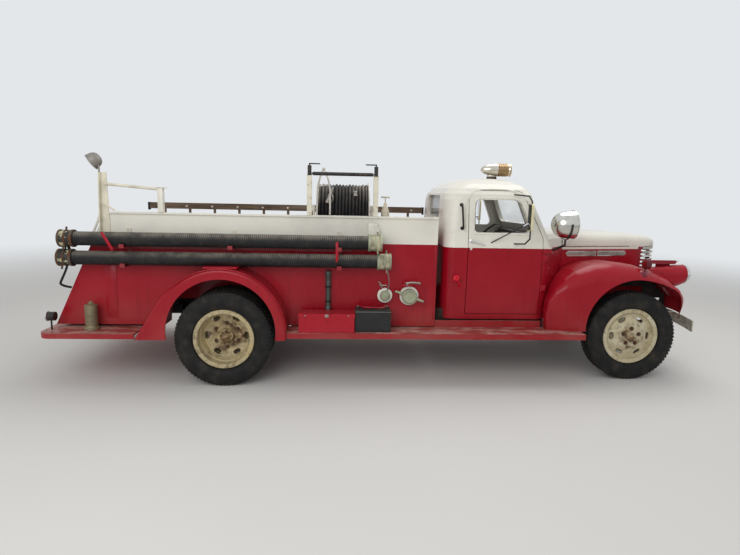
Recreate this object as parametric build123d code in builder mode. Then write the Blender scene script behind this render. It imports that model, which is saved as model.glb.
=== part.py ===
"""Closed-cab pumper fire engine on a 160 inch wheelbase truck chassis.

Frame: X forward, Y to the engine's left, Z up, millimetres. The origin is on the
ground, midway between the rear step and the bumper. Left and right are the driver's.
"""

import os
from math import cos, radians, sin, sqrt

from build123d import *

os.makedirs("parts", exist_ok=True)

# Overall sizes
LENGTH = 6520.0
WHEELBASE = 4064.0
REAR_OVERHANG = 1690.0
REAR_AXLE_X = REAR_OVERHANG - LENGTH / 2
FRONT_AXLE_X = REAR_AXLE_X + WHEELBASE
STEP_REAR_X = -LENGTH / 2
BUMPER_FRONT_X = LENGTH / 2

# Fits and gaps
MOVE_GAP = 6.0
SEAT_GAP = 0.3
RUN_FIT = 0.06

# Tyres and wheels
TYRE_R = 455.0
TYRE_W = 205.0
TREAD_W = 164.0
RIM_FLANGE_R = 286.0
RIM_SEAT_R = 256.0
RIM_W = 150.0
RIM_WALL = 11.0
DUAL_SPACING = 240.0
REAR_TRACK_HALF = 852.5
FRONT_TRACK_HALF = 778.0
HAND_HOLES = 6
HAND_HOLE_R = 188.0

# Axles, knuckles and steering
KINGPIN_Y = 690.0
KINGPIN_R = 20.0
KINGPIN_BOSS_R = 34.0
SPINDLE_R = 30.0
REAR_SPINDLE_R = 40.0
STEER_ARM = 180.0
TIE_ROD_Z = 372.0
TIE_ROD_R = 14.0
AXLE_TUBE_R = 55.0

# Chassis
FRAME_HALF = 430.0
FRAME_FLANGE = 75.0
FRAME_BOTTOM = 560.0
FRAME_DEPTH = 180.0
FRAME_WALL = 9.0
FRAME_TOP = FRAME_BOTTOM + FRAME_DEPTH
FRAME_REAR_X = -2700.0
FRAME_FRONT_X = 3060.0
CROSSMEMBERS_X = (-2640.0, -2080.0, -900.0, 250.0, 1450.0, 2750.0)
MEMBER_HALF = 35.0
MEMBER_BOTTOM = 660.0

# Fire body
BODY_HALF = 800.0
BODY_WALL = 25.0
BODY_BOTTOM = 533.0
BODY_FRONT_X = 475.0
BODY_TOP_RIGHT = 1622.0
BODY_TOP_LEFT = 1500.0
BODY_REAR_X = -3210.0
BODY_REAR_SLOPE = 0.473
BED_FLOOR_Z = 1150.0
BED_PANEL = 16.0
RAIL_W = 36.0
RAIL_H = 16.0

# Rear fenders, running boards and step
ARCH_X = REAR_AXLE_X - 15.0
ARCH_Z = 528.0
ARCH_R = 507.0
REAR_FENDER_R = 605.0
REAR_FENDER_Y = 1095.0
REAR_FENDER_BOTTOM = 458.0
REAR_FENDER_TOE_X = -2383.0
WHEELHOUSE_Y = 606.0
FENDER_SKIN = 12.0
BOARD_TOP = 524.0
BOARD_OUT_Y = 1060.0
BOARD_IN_Y = 782.0
BOARD_DEPTH = 55.0
BOARD_PLATE = 12.0
BOARD_FRONT_X = 1926.0
BOARD_BRACKETS_X = (-700.0, 400.0, 1500.0)
STEP_TOP = 509.0
STEP_PLATE = 14.0
STEP_DEPTH = 49.0
STEP_HALF = 1075.0

# Cab
CAB_BACK_X = 550.0
CAB_BOTTOM = 600.0
CAB_WALL = 45.0
BELT_Z = 1326.0
COWL_FRONT_X = 1867.0
COWL_FRONT_HALF = 470.0
DOOR_REAR_X = 790.0
DOOR_FRONT_X = 1545.0
DOOR_BOTTOM = 658.0
DOOR_THICK = 60.0
DOOR_HINGE_X = 1552.0
DOOR_HINGE_Y = 787.0
GLASS_T = 6.0
FLOOR_Z = FRAME_TOP
FLOOR_T = 25.0
COLUMN_Y = 380.0
HOOD_HINGE_X = COWL_FRONT_X + 3.0
HOOD_HINGE_Z = 1486.0
HOOD_HINGE_R = 5.0
HOOD_HINGE_IN_Y = 150.0
HOOD_HINGE_L = 60.0

# Hood and nose
HOOD_REAR_X = COWL_FRONT_X + MOVE_GAP
HOOD_NOSE_X = 2800.0
HOOD_NOSE_R = 300.0
HOOD_SKIN = 14.0
HOOD_BOTTOM = 1330.0
HOOD_SIDE_TOP = HOOD_BOTTOM - MOVE_GAP
HOOD_SIDE_BOTTOM = 900.0
HOOD_SIDE_WALL = 20.0
GRILLE_BOTTOM = 640.0
GRILLE_BARS = 15

# Front fenders
FENDER_OUT_Y = 940.0
FRONT_ARCH_X = FRONT_AXLE_X - 14.0
FRONT_ARCH_Z = 545.0
FRONT_ARCH_R = 505.0
FENDER_ROUND = 190.0
LAMP_Y = 640.0
LAMP_Z = 1076.0
LAMP_R = 112.0
LAMP_FRONT_X = 3172.0
LENS_R = 94.0
LENS_DEPTH = 34.0

# Hose reel and its guide
REEL_Y = -250.0
REEL_Z = 1660.0
REEL_REAR_X = -724.0
REEL_FRONT_X = -190.0
REEL_FLANGE_R = 290.0
REEL_FLANGE_T = 8.0
REEL_DRUM_R = 105.0
REEL_AXLE_R = 25.0
REEL_AXLE_END = 50.0
REEL_TURNS = 14
REEL_HOSE_R = 272.0
GUIDE_REAR_X = -782.0
GUIDE_FRONT_X = -147.0
GUIDE_POST = 46.0
GUIDE_POST_TOP = 2006.0

# Suction hoses on the right side
SUCTION_R = 65.0
SUCTION_Y = -935.0
SUCTION_COUPLING_R = 76.0
SUCTION_HOSES = (
    # rear x, front x, centre z
    (-3050.0, -89.0, 1378.0),
    (-3070.0, 0.0, 1200.0),
)
RACK_X = (-2480.0, -1500.0, -490.0)

RIGHT = -1
LEFT = 1


def span(x0, x1, y0, y1, z0, z1, mode=Mode.ADD):
    """A block given by its two corners."""
    with Locations(((x0 + x1) / 2, (y0 + y1) / 2, (z0 + z1) / 2)):
        Box(abs(x1 - x0), abs(y1 - y0), abs(z1 - z0), mode=mode)


def rod(start, end, radius, mode=Mode.ADD):
    """A round bar between two points."""
    run = Vector(*end) - Vector(*start)
    with Locations(Plane(origin=start, z_dir=run).location):
        Cylinder(radius, run.length, align=(Align.CENTER, Align.CENTER, Align.MIN), mode=mode)


def side_face(points, y, radius=0):
    """A closed outline in X and Z, on the plane at this Y. Extruding it moves outward to -Y."""
    with BuildSketch(Plane.XZ.offset(-y)) as face:
        with BuildLine():
            Polyline(*points, close=True)
        make_face()
        if radius:
            fillet(face.vertices(), radius)
    return face.sketch


def plan_face(points, z, radius=0):
    """A closed outline in X and Y, at this height."""
    with BuildSketch(Plane.XY.offset(z)) as face:
        with BuildLine():
            Polyline(*points, close=True)
        make_face()
        if radius:
            fillet(face.vertices(), radius)
    return face.sketch


# Wheels are drawn on a plane at the hub whose normal points out of the vehicle
def axle_plane(x, side, half):
    return Plane(origin=(x, side * half, TYRE_R), x_dir=(1, 0, 0), z_dir=(0, side, 0))


def turning_section(plane, offset=0.0):
    """The plane of a turned section: its x is the radius and its y runs out along the axle."""
    return Plane(
        origin=plane.origin + plane.z_dir * offset,
        x_dir=plane.x_dir,
        z_dir=plane.x_dir.cross(plane.z_dir),
    )


def tyre_at(plane, offset=0.0):
    """One tyre, centred at this distance along its axle."""
    bead = RIM_W / 2 - RIM_WALL - SEAT_GAP
    seat = RIM_SEAT_R + SEAT_GAP
    shoulder = TREAD_W / 2
    section = turning_section(plane, offset)
    with BuildPart() as tyre:
        with BuildSketch(section):
            with BuildLine():
                Polyline((seat, 0), (seat, bead), (RIM_FLANGE_R + 3, bead))
                ThreePointArc(
                    (RIM_FLANGE_R + 3, bead),
                    ((RIM_FLANGE_R + TYRE_R) / 2, TYRE_W / 2),
                    (TYRE_R - 22, shoulder + 6),
                )
                ThreePointArc(
                    (TYRE_R - 22, shoulder + 6),
                    (TYRE_R - 6, shoulder - 3),
                    (TYRE_R, shoulder - 18),
                )
                Line((TYRE_R, shoulder - 18), (TYRE_R, 0))
                mirror(about=Plane.XZ)
            make_face()
        revolve(axis=Axis(section.origin, plane.z_dir))
    return tyre.part


def rim_outline(offset):
    """Half section of a rim with its two flanges, as radius and distance along the axle."""
    half = RIM_W / 2
    inner = RIM_SEAT_R - RIM_WALL
    return [
        (inner, offset - half + 4),
        (inner + 6, offset - half),
        (RIM_FLANGE_R - 4, offset - half),
        (RIM_FLANGE_R, offset - half + 4),
        (RIM_FLANGE_R, offset - half + RIM_WALL),
        (RIM_SEAT_R, offset - half + RIM_WALL),
        (RIM_SEAT_R, offset + half - RIM_WALL),
        (RIM_FLANGE_R, offset + half - RIM_WALL),
        (RIM_FLANGE_R, offset + half - 4),
        (RIM_FLANGE_R - 4, offset + half),
        (inner + 6, offset + half),
        (inner, offset + half - 4),
    ]


def wheel_at(plane, outlines, holes_from, bore_r, bore_end):
    """Rims, dished discs, drum and hub turned as one, with hand holes and the hub's bore."""
    section = turning_section(plane)
    with BuildPart() as wheel:
        with BuildSketch(section):
            for outline in outlines:
                with BuildLine():
                    Polyline(*outline, close=True)
                make_face()
        revolve(axis=Axis(section.origin, plane.z_dir))
        with BuildSketch(plane.offset(bore_end)):
            Circle(bore_r)
        extrude(amount=-400, mode=Mode.SUBTRACT)
        with BuildSketch(plane.offset(holes_from)):
            with PolarLocations(HAND_HOLE_R, HAND_HOLES):
                SlotOverall(76, 42, rotation=90)
        extrude(amount=300, mode=Mode.SUBTRACT)
    return wheel.part


FRONT_BORE_END = 84.0
REAR_BORE_END = 44.0

FRONT_DISC = [(250, 30), (226, 34), (150, 66), (116, 80), (45, 80), (45, 68), (112, 68), (144, 55), (220, 22), (250, 18)]
FRONT_DRUM = [(190, -60), (190, -4), (45, -4), (45, -15), (180, -15), (180, -60)]
FRONT_HUB = [(0, 90), (0, 106), (30, 106), (40, 98), (55, 88), (55, -22), (0, -22)]

REAR_DISC = [(250, 110), (234, 106), (214, 44), (150, 26), (60, 22), (60, -2), (150, 8), (222, 30), (246, 96), (250, 98)]
REAR_BACK_DISC = [(r, -u) for r, u in REAR_DISC]
REAR_DRUM = [(195, -150), (195, -52), (60, -52), (60, -64), (185, -64), (185, -150)]
REAR_HUB = [(0, 60), (0, 78), (58, 78), (66, 70), (66, 30), (104, 30), (104, -30), (66, -30), (66, -90), (0, -90)]

for side, word in ((RIGHT, "right"), (LEFT, "left")):
    front_plane = axle_plane(FRONT_AXLE_X, side, FRONT_TRACK_HALF)
    front_tyre = tyre_at(front_plane)
    front_tyre.label = f"front_tyre_{word}"
    export_step(front_tyre, f"parts/front_tyre_{word}.step")

    front_wheel = wheel_at(
        front_plane,
        [rim_outline(0), FRONT_DISC, FRONT_DRUM, FRONT_HUB],
        1.0,
        SPINDLE_R + RUN_FIT,
        FRONT_BORE_END,
    )
    front_wheel.label = f"front_wheel_{word}"
    export_step(front_wheel, f"parts/front_wheel_{word}.step")

    rear_plane = axle_plane(REAR_AXLE_X, side, REAR_TRACK_HALF)
    with BuildPart() as rear_tyres:
        add(tyre_at(rear_plane, DUAL_SPACING / 2))
        add(tyre_at(rear_plane, -DUAL_SPACING / 2))
    rear_tyres.part.label = f"rear_tyres_{word}"
    export_step(rear_tyres.part, f"parts/rear_tyres_{word}.step")

    rear_wheels = wheel_at(
        rear_plane,
        [
            rim_outline(DUAL_SPACING / 2),
            rim_outline(-DUAL_SPACING / 2),
            REAR_DISC,
            REAR_BACK_DISC,
            REAR_DRUM,
            REAR_HUB,
        ],
        -50.0,
        REAR_SPINDLE_R + RUN_FIT,
        REAR_BORE_END,
    )
    rear_wheels.label = f"rear_wheels_{word}"
    export_step(rear_wheels, f"parts/rear_wheels_{word}.step")

# Front axle: a dropped I-beam with a boss at each end for the kingpin
BOSS_HALF = 35.0
BEAM_HALF = 28.0
with BuildPart() as front_axle:
    with BuildSketch(Plane.YZ.offset(FRONT_AXLE_X - BEAM_HALF)):
        with BuildLine():
            Polyline(
                (-KINGPIN_Y + 20, TYRE_R + 28),
                (-500, 440),
                (500, 440),
                (KINGPIN_Y - 20, TYRE_R + 28),
                (KINGPIN_Y - 20, TYRE_R - 28),
                (520, 384),
                (-520, 384),
                (-KINGPIN_Y + 20, TYRE_R - 28),
                close=True,
            )
        make_face()
    extrude(amount=2 * BEAM_HALF)
    for groove in (-1, 1):
        span(
            FRONT_AXLE_X + groove * 9,
            FRONT_AXLE_X + groove * (BEAM_HALF + 2),
            -480,
            480,
            396,
            428,
            Mode.SUBTRACT,
        )
    with Locations((FRONT_AXLE_X, -KINGPIN_Y, TYRE_R), (FRONT_AXLE_X, KINGPIN_Y, TYRE_R)):
        Cylinder(KINGPIN_BOSS_R, 2 * BOSS_HALF)
        Cylinder(KINGPIN_R + RUN_FIT, 3 * BOSS_HALF, mode=Mode.SUBTRACT)
front_axle.part.label = "front_axle"
export_step(front_axle.part, "parts/front_axle.step")

# Steering knuckles: two ears on the kingpin, a plate outboard, the spindle and the steering arm
EAR_GAP = 3.0
EAR_T = 22.0
PLATE_IN = KINGPIN_BOSS_R + 8.0
PLATE_T = 12.0
for side, word in ((RIGHT, "right"), (LEFT, "left")):
    ear_low = TYRE_R - BOSS_HALF - EAR_GAP - EAR_T
    ear_high = TYRE_R + BOSS_HALF + EAR_GAP
    plate_y = side * (KINGPIN_Y + PLATE_IN)
    with BuildPart() as knuckle:
        for low in (ear_low, ear_high):
            with Locations((FRONT_AXLE_X, side * KINGPIN_Y, low + EAR_T / 2)):
                Cylinder(KINGPIN_BOSS_R, EAR_T)
            span(
                FRONT_AXLE_X - KINGPIN_BOSS_R,
                FRONT_AXLE_X + KINGPIN_BOSS_R,
                side * KINGPIN_Y,
                plate_y + side * PLATE_T,
                low,
                low + EAR_T,
            )
        rod(
            (FRONT_AXLE_X, side * KINGPIN_Y, ear_low),
            (FRONT_AXLE_X, side * KINGPIN_Y, ear_high + EAR_T),
            KINGPIN_R,
        )
        rod(
            (FRONT_AXLE_X, plate_y, TYRE_R),
            (FRONT_AXLE_X, plate_y + side * PLATE_T, TYRE_R),
            168,
        )
        rod(
            (FRONT_AXLE_X, plate_y, TYRE_R),
            (FRONT_AXLE_X, side * (FRONT_TRACK_HALF + FRONT_BORE_END - EAR_GAP), TYRE_R),
            SPINDLE_R,
        )
        span(
            FRONT_AXLE_X - STEER_ARM - 16,
            FRONT_AXLE_X,
            side * (KINGPIN_Y - 14),
            side * (KINGPIN_Y + 14),
            ear_low,
            ear_low + EAR_T,
        )
        rod(
            (FRONT_AXLE_X - STEER_ARM, side * KINGPIN_Y, ear_low),
            (FRONT_AXLE_X - STEER_ARM, side * KINGPIN_Y, TIE_ROD_Z - 16),
            8,
        )
    knuckle.part.label = f"steering_knuckle_{word}"
    export_step(knuckle.part, f"parts/steering_knuckle_{word}.step")

# Tie rod between the two steering arms, with an eye on each ball stud
with BuildPart() as tie_rod:
    tie_x = FRONT_AXLE_X - STEER_ARM
    rod((tie_x, -KINGPIN_Y + 24, TIE_ROD_Z), (tie_x, KINGPIN_Y - 24, TIE_ROD_Z), TIE_ROD_R)
    with Locations((tie_x, -KINGPIN_Y, TIE_ROD_Z), (tie_x, KINGPIN_Y, TIE_ROD_Z)):
        Cylinder(26, 26)
        Cylinder(8 + RUN_FIT, 40, mode=Mode.SUBTRACT)
tie_rod.part.label = "tie_rod"
export_step(tie_rod.part, "parts/tie_rod.step")

# Rear axle: tubes, round differential housing, brake plates and spindles, with the drive shaft
BACKING_Y = REAR_TRACK_HALF - 150 - MOVE_GAP
SHAFT_FRONT_X = 1700.0
SHAFT_FRONT_Z = 600.0
with BuildPart() as rear_axle:
    rod((REAR_AXLE_X, -BACKING_Y, TYRE_R), (REAR_AXLE_X, BACKING_Y, TYRE_R), AXLE_TUBE_R)
    spindle_y = REAR_TRACK_HALF + REAR_BORE_END - EAR_GAP
    rod((REAR_AXLE_X, -spindle_y, TYRE_R), (REAR_AXLE_X, spindle_y, TYRE_R), REAR_SPINDLE_R)
    for side in (RIGHT, LEFT):
        rod(
            (REAR_AXLE_X, side * BACKING_Y, TYRE_R),
            (REAR_AXLE_X, side * (BACKING_Y - 10), TYRE_R),
            178,
        )
    with Locations((REAR_AXLE_X, 0, TYRE_R)):
        Sphere(172)
    rod((REAR_AXLE_X + 120, 0, TYRE_R), (REAR_AXLE_X + 270, 0, TYRE_R + 10), 70)
    rod((REAR_AXLE_X + 270, 0, TYRE_R + 10), (SHAFT_FRONT_X - 2, 0, SHAFT_FRONT_Z), 38)
rear_axle.part.label = "rear_axle"
export_step(rear_axle.part, "parts/rear_axle.step")

# Leaf springs: each leaf a band of one arc, the lower ones shorter
LEAF_T = 9.0
SPRINGS = (
    # axle x, side offset y, width, seat z, half length, rise, leaves, hanger inner y
    (FRONT_AXLE_X, 400.0, 56.0, 440.0, 470.0, 48.0, 5, 372.0),
    (REAR_AXLE_X, 474.0, 62.0, TYRE_R + AXLE_TUBE_R, 560.0, 62.0, 7, FRAME_HALF),
)
with BuildPart() as leaf_springs:
    for x, y, width, seat, half, rise, leaves, inner in SPRINGS:
        curve = (half**2 + rise**2) / (2 * rise)
        top = seat + leaves * LEAF_T
        centre_z = top + curve
        for leaf in range(leaves):
            reach = half * (1 - 0.8 * leaf / leaves)
            high = curve + leaf * LEAF_T
            low = high + LEAF_T
            turn = reach / curve
            with BuildSketch(Plane.XZ.offset(-(y + width / 2))):
                with BuildLine():
                    ThreePointArc(
                        (x - high * sin(turn), centre_z - high * cos(turn)),
                        (x, centre_z - high),
                        (x + high * sin(turn), centre_z - high * cos(turn)),
                    )
                    ThreePointArc(
                        (x - low * sin(turn), centre_z - low * cos(turn)),
                        (x, centre_z - low),
                        (x + low * sin(turn), centre_z - low * cos(turn)),
                    )
                    Line(
                        (x - high * sin(turn), centre_z - high * cos(turn)),
                        (x - low * sin(turn), centre_z - low * cos(turn)),
                    )
                    Line(
                        (x + high * sin(turn), centre_z - high * cos(turn)),
                        (x + low * sin(turn), centre_z - low * cos(turn)),
                    )
                make_face()
            extrude(amount=width)
        eye_z = centre_z - curve * cos(half / curve) - LEAF_T / 2
        for end in (-1, 1):
            eye_x = x + end * (half - 6)
            rod((eye_x, y - width / 2, eye_z), (eye_x, y + width / 2, eye_z), 16)
            if inner < FRAME_HALF:
                span(eye_x - 22, eye_x + 22, y - width / 2, y + width / 2, eye_z, FRAME_BOTTOM)
            else:
                span(eye_x - 24, eye_x + 24, inner, y + width / 2, eye_z, FRAME_BOTTOM + 110)
    mirror(about=Plane.XZ)
leaf_springs.part.label = "leaf_springs"
export_step(leaf_springs.part, "parts/leaf_springs.step")

# Frame: two channel rails with their webs outboard, joined by crossmembers
with BuildPart() as frame_rails:
    for side in (RIGHT, LEFT):
        span(
            FRAME_REAR_X,
            FRAME_FRONT_X,
            side * FRAME_HALF,
            side * (FRAME_HALF - FRAME_FLANGE),
            FRAME_BOTTOM,
            FRAME_TOP,
        )
        span(
            FRAME_REAR_X - 1,
            FRAME_FRONT_X + 1,
            side * (FRAME_HALF - FRAME_WALL),
            side * (FRAME_HALF - FRAME_FLANGE - 1),
            FRAME_BOTTOM + FRAME_WALL,
            FRAME_TOP - FRAME_WALL,
            Mode.SUBTRACT,
        )
    for x in CROSSMEMBERS_X:
        span(
            x - MEMBER_HALF,
            x + MEMBER_HALF,
            -FRAME_HALF + FRAME_WALL,
            FRAME_HALF - FRAME_WALL,
            MEMBER_BOTTOM,
            FRAME_TOP - FRAME_WALL,
        )
frame_rails.part.label = "frame_rails"
export_step(frame_rails.part, "parts/frame_rails.step")

# Engine with its gearbox, as plain blocks at their real place, carried on lugs on the frame
with BuildPart() as engine:
    span(1950, 2700, -235, 235, FRAME_BOTTOM, 1180)
    span(SHAFT_FRONT_X, 1950, -125, 125, 500, FRAME_TOP - 5)
    span(2260, 2380, -FRAME_HALF + 15, FRAME_HALF - 15, FRAME_TOP, FRAME_TOP + 28)
engine.part.label = "engine"
export_step(engine.part, "parts/engine.step")

# Radiator standing on the front crossmember
with BuildPart() as radiator:
    span(2755, 2785, -262, 262, FRAME_TOP - FRAME_WALL, 1280)
    span(2745, 2795, -200, 200, 1280, 1310)
radiator.part.label = "radiator"
export_step(radiator.part, "parts/radiator.step")

# Water tank between the frame and the bed's floor
with BuildPart() as water_tank:
    span(-2250, -60, -520, 520, FRAME_TOP, BED_FLOOR_Z - BED_PANEL)
water_tank.part.label = "water_tank"
export_step(water_tank.part, "parts/water_tank.step")

# Exhaust: silencer hung under the left rail with its pipes
with BuildPart() as exhaust:
    rod((500, 250, 470), (1150, 250, 470), 80)
    rod((1150, 250, 470), (1900, 250, 520), 24)
    rod((-900, 250, 470), (500, 250, 470), 22)
    for hanger_x in (620, 1040):
        span(hanger_x - 6, hanger_x + 6, 235, 265, 545, FRAME_BOTTOM + 100)
        span(hanger_x - 6, hanger_x + 6, 235, FRAME_HALF - FRAME_WALL, FRAME_BOTTOM + 100, FRAME_BOTTOM + 112)
exhaust.part.label = "exhaust"
export_step(exhaust.part, "parts/exhaust.step")


# Fire body
POST_REAR_X = -2735.0
POST_FRONT_X = -2650.0


def body_rear_x(z):
    """The body's slanted rear edge at this height."""
    return BODY_REAR_X + BODY_REAR_SLOPE * (z - BODY_BOTTOM)


for side, word, top in ((RIGHT, "right", BODY_TOP_RIGHT), (LEFT, "left", BODY_TOP_LEFT)):
    with BuildPart() as body_side:
        extrude(
            side_face(
                [
                    (BODY_REAR_X, BODY_BOTTOM),
                    (BODY_FRONT_X, BODY_BOTTOM),
                    (BODY_FRONT_X, top),
                    (body_rear_x(top), top),
                ],
                -BODY_HALF + BODY_WALL,
            ),
            amount=BODY_WALL,
        )
        span(
            max(body_rear_x(top), POST_FRONT_X),
            BODY_FRONT_X,
            -BODY_HALF - RAIL_W / 2,
            -BODY_HALF + BODY_WALL,
            top - RAIL_H,
            top,
        )
        with BuildSketch(Plane.XZ.offset(BODY_HALF - 100)):
            with Locations((ARCH_X, ARCH_Z)):
                Circle(REAR_FENDER_R + SEAT_GAP)
        extrude(amount=200, mode=Mode.SUBTRACT)
        if side == LEFT:
            mirror(about=Plane.XZ, mode=Mode.REPLACE)
    body_side.part.label = f"body_side_{word}"
    export_step(body_side.part, f"parts/body_side_{word}.step")

# Hose bed: floor, front bulkhead and slanted rear panel, fitted between the sides
BED_HALF = BODY_HALF - BODY_WALL
BED_TOP = 1480.0
with BuildPart() as hose_bed:
    span(body_rear_x(BED_FLOOR_Z) + 60, BODY_FRONT_X, -BED_HALF, BED_HALF, BED_FLOOR_Z - BED_PANEL, BED_FLOOR_Z)
    span(BODY_FRONT_X - BED_PANEL, BODY_FRONT_X, -BED_HALF, BED_HALF, FRAME_TOP + 2, BED_TOP)
    extrude(
        side_face(
            [
                (body_rear_x(BODY_BOTTOM) + 40, BODY_BOTTOM),
                (body_rear_x(BODY_BOTTOM) + 64, BODY_BOTTOM),
                (body_rear_x(BED_FLOOR_Z) + 64, BED_FLOOR_Z),
                (body_rear_x(BED_FLOOR_Z) + 40, BED_FLOOR_Z),
            ],
            BED_HALF,
        ),
        amount=2 * BED_HALF,
    )
hose_bed.part.label = "hose_bed"
export_step(hose_bed.part, "parts/hose_bed.step")


# Rear fenders: a crowned band over the dual wheels with a long straight tail
TAIL_KNEE = (ARCH_X - 539.0, ARCH_Z + 343.0)
TAIL_ANGLE = 125.0


def rear_fender_outline(inset, low):
    """The fender's outer outline pulled in by this much, with its bottom at this height."""
    run_off = REAR_FENDER_BOTTOM - 60
    front_x = ARCH_X + sqrt(REAR_FENDER_R**2 - (ARCH_Z - REAR_FENDER_BOTTOM) ** 2)
    back = Vector(
        ARCH_X + REAR_FENDER_R * cos(radians(TAIL_ANGLE)),
        ARCH_Z + REAR_FENDER_R * sin(radians(TAIL_ANGLE)),
    )
    along = Vector(-sin(radians(TAIL_ANGLE)), cos(radians(TAIL_ANGLE)))
    with BuildSketch() as outline:
        with BuildLine():
            Polyline((front_x, REAR_FENDER_BOTTOM), (front_x, run_off), (REAR_FENDER_TOE_X, run_off))
            Polyline((REAR_FENDER_TOE_X, run_off), (REAR_FENDER_TOE_X, REAR_FENDER_BOTTOM), TAIL_KNEE)
            TangentArc((back.X, back.Y), TAIL_KNEE, tangent=along)
            ThreePointArc(
                (back.X, back.Y),
                (ARCH_X, ARCH_Z + REAR_FENDER_R),
                (front_x, REAR_FENDER_BOTTOM),
            )
        make_face()
        knee = outline.vertices().sort_by_distance((*TAIL_KNEE, 0))[0]
        fillet(knee, 240)
        if inset:
            offset(amount=-inset, mode=Mode.REPLACE)
        with Locations((ARCH_X, low - 500)):
            Rectangle(3000, 1000, mode=Mode.SUBTRACT)
    return outline.sketch


with BuildPart() as rear_fenders:
    shell = rear_fender_outline(0, REAR_FENDER_BOTTOM)
    extrude(Plane.XZ.offset(BODY_HALF) * shell, amount=REAR_FENDER_Y - BODY_HALF)
    outer_rim = rear_fenders.edges().group_by(Axis.Y)[0].filter_by(lambda e: e.center().Z > REAR_FENDER_BOTTOM + 1)
    fillet(outer_rim, 34)
    hollow = rear_fender_outline(FENDER_SKIN, REAR_FENDER_BOTTOM - 20)
    extrude(
        Plane.XZ.offset(BODY_HALF - 1) * hollow,
        amount=REAR_FENDER_Y - BODY_HALF - FENDER_SKIN,
        mode=Mode.SUBTRACT,
    )
    with BuildSketch(Plane.XZ.offset(BODY_HALF + 50)):
        with Locations((ARCH_X, ARCH_Z)):
            Circle(ARCH_R)
    extrude(amount=400, mode=Mode.SUBTRACT)
    with BuildSketch(Plane.XZ.offset(WHEELHOUSE_Y)):
        with Locations((ARCH_X, ARCH_Z)):
            Circle(REAR_FENDER_R)
            Circle(REAR_FENDER_R - FENDER_SKIN, mode=Mode.SUBTRACT)
        with Locations((ARCH_X, BODY_BOTTOM - 500)):
            Rectangle(3000, 1000, mode=Mode.SUBTRACT)
    extrude(amount=BODY_HALF - WHEELHOUSE_Y + 1)
    mirror(about=Plane.XZ)
rear_fenders.part.label = "rear_fenders"
export_step(rear_fenders.part, "parts/rear_fenders.step")

# Running boards with a turned-down edge, arms to the frame and the apron behind them
with BuildPart() as running_boards:
    board_rear_x = ARCH_X + REAR_FENDER_R + SEAT_GAP
    arm_top = BOARD_TOP - BOARD_PLATE - SEAT_GAP
    span(board_rear_x, BOARD_FRONT_X, -BOARD_OUT_Y, -BOARD_IN_Y, BOARD_TOP - BOARD_PLATE, BOARD_TOP)
    span(
        board_rear_x,
        BOARD_FRONT_X,
        -BOARD_OUT_Y,
        -BOARD_OUT_Y + BOARD_PLATE,
        BOARD_TOP - BOARD_DEPTH,
        BOARD_TOP,
    )
    span(BODY_FRONT_X + 4, BOARD_FRONT_X - 360, -BOARD_IN_Y - 8, -BOARD_IN_Y, BOARD_TOP, CAB_BOTTOM - 6)
    for x in BOARD_BRACKETS_X:
        span(x - 28, x + 28, -BOARD_OUT_Y + 20, -FRAME_HALF, arm_top - 22, arm_top)
        span(x - 28, x + 28, -FRAME_HALF - 14, -FRAME_HALF, arm_top - 22, 690)
    mirror(about=Plane.XZ)
running_boards.part.label = "running_boards"
export_step(running_boards.part, "parts/running_boards.step")

# Rear step across the back, standing off two brackets under the frame
with BuildPart() as rear_step:
    with BuildSketch(Plane.XY.offset(STEP_TOP - STEP_DEPTH)):
        with BuildLine():
            FilletPolyline(
                (REAR_FENDER_TOE_X - SEAT_GAP, -STEP_HALF),
                (STEP_REAR_X, -STEP_HALF),
                (STEP_REAR_X, STEP_HALF),
                (REAR_FENDER_TOE_X - SEAT_GAP, STEP_HALF),
                radius=[0, 110, 110, 0],
                close=True,
            )
        make_face()
    extrude(amount=STEP_DEPTH)
    with BuildSketch(Plane.XY.offset(STEP_TOP - STEP_DEPTH - 1)):
        with BuildLine():
            FilletPolyline(
                (REAR_FENDER_TOE_X + 10, -STEP_HALF + BOARD_PLATE),
                (STEP_REAR_X + BOARD_PLATE, -STEP_HALF + BOARD_PLATE),
                (STEP_REAR_X + BOARD_PLATE, STEP_HALF - BOARD_PLATE),
                (REAR_FENDER_TOE_X + 10, STEP_HALF - BOARD_PLATE),
                radius=[0, 98, 98, 0],
                close=True,
            )
        make_face()
    extrude(amount=STEP_DEPTH - STEP_PLATE + 1, mode=Mode.SUBTRACT)
    for side in (RIGHT, LEFT):
        span(
            FRAME_REAR_X + 10,
            FRAME_REAR_X + 90,
            side * FRAME_HALF,
            side * (FRAME_HALF - FRAME_FLANGE),
            STEP_TOP,
            FRAME_BOTTOM,
        )
rear_step.part.label = "rear_step"
export_step(rear_step.part, "parts/rear_step.step")

# Cab, drawn as level sections: the lower body with its cowl, and the greenhouse with its roof
# The last number of each row says how much of a wall's thickness is taken sideways there
LOWER_SECTIONS = (
    # z, half width at the door, half width at the cowl's front, sideways share
    (CAB_BOTTOM, 746.0, 450.0, 1.0),
    (1000.0, 774.0, 466.0, 1.0),
    (BELT_Z, 772.0, COWL_FRONT_HALF, 1.0),
    (1420.0, 750.0, 448.0, 0.9),
    (1468.0, 708.0, 396.0, 0.6),
    (1490.0, 640.0, 316.0, 0.0),
)
UPPER_SECTIONS = [
    # z, back x, pillar x, centre x, half width, rear corner, front corner, centre corner, share
    (BELT_Z - 40, 550.0, 1666.0, 1780.0, 766.0, 120.0, 40.0, 30.0, 1.0),
    (1500.0, 550.0, 1574.0, 1690.0, 750.0, 130.0, 45.0, 30.0, 1.0),
]
EAVES = (1800.0, 556.0, 1446.0, 1562.0, 694.0)
ROOF_TOP = (2023.0, 985.0, 1110.0, 1134.0, 236.0)
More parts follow.
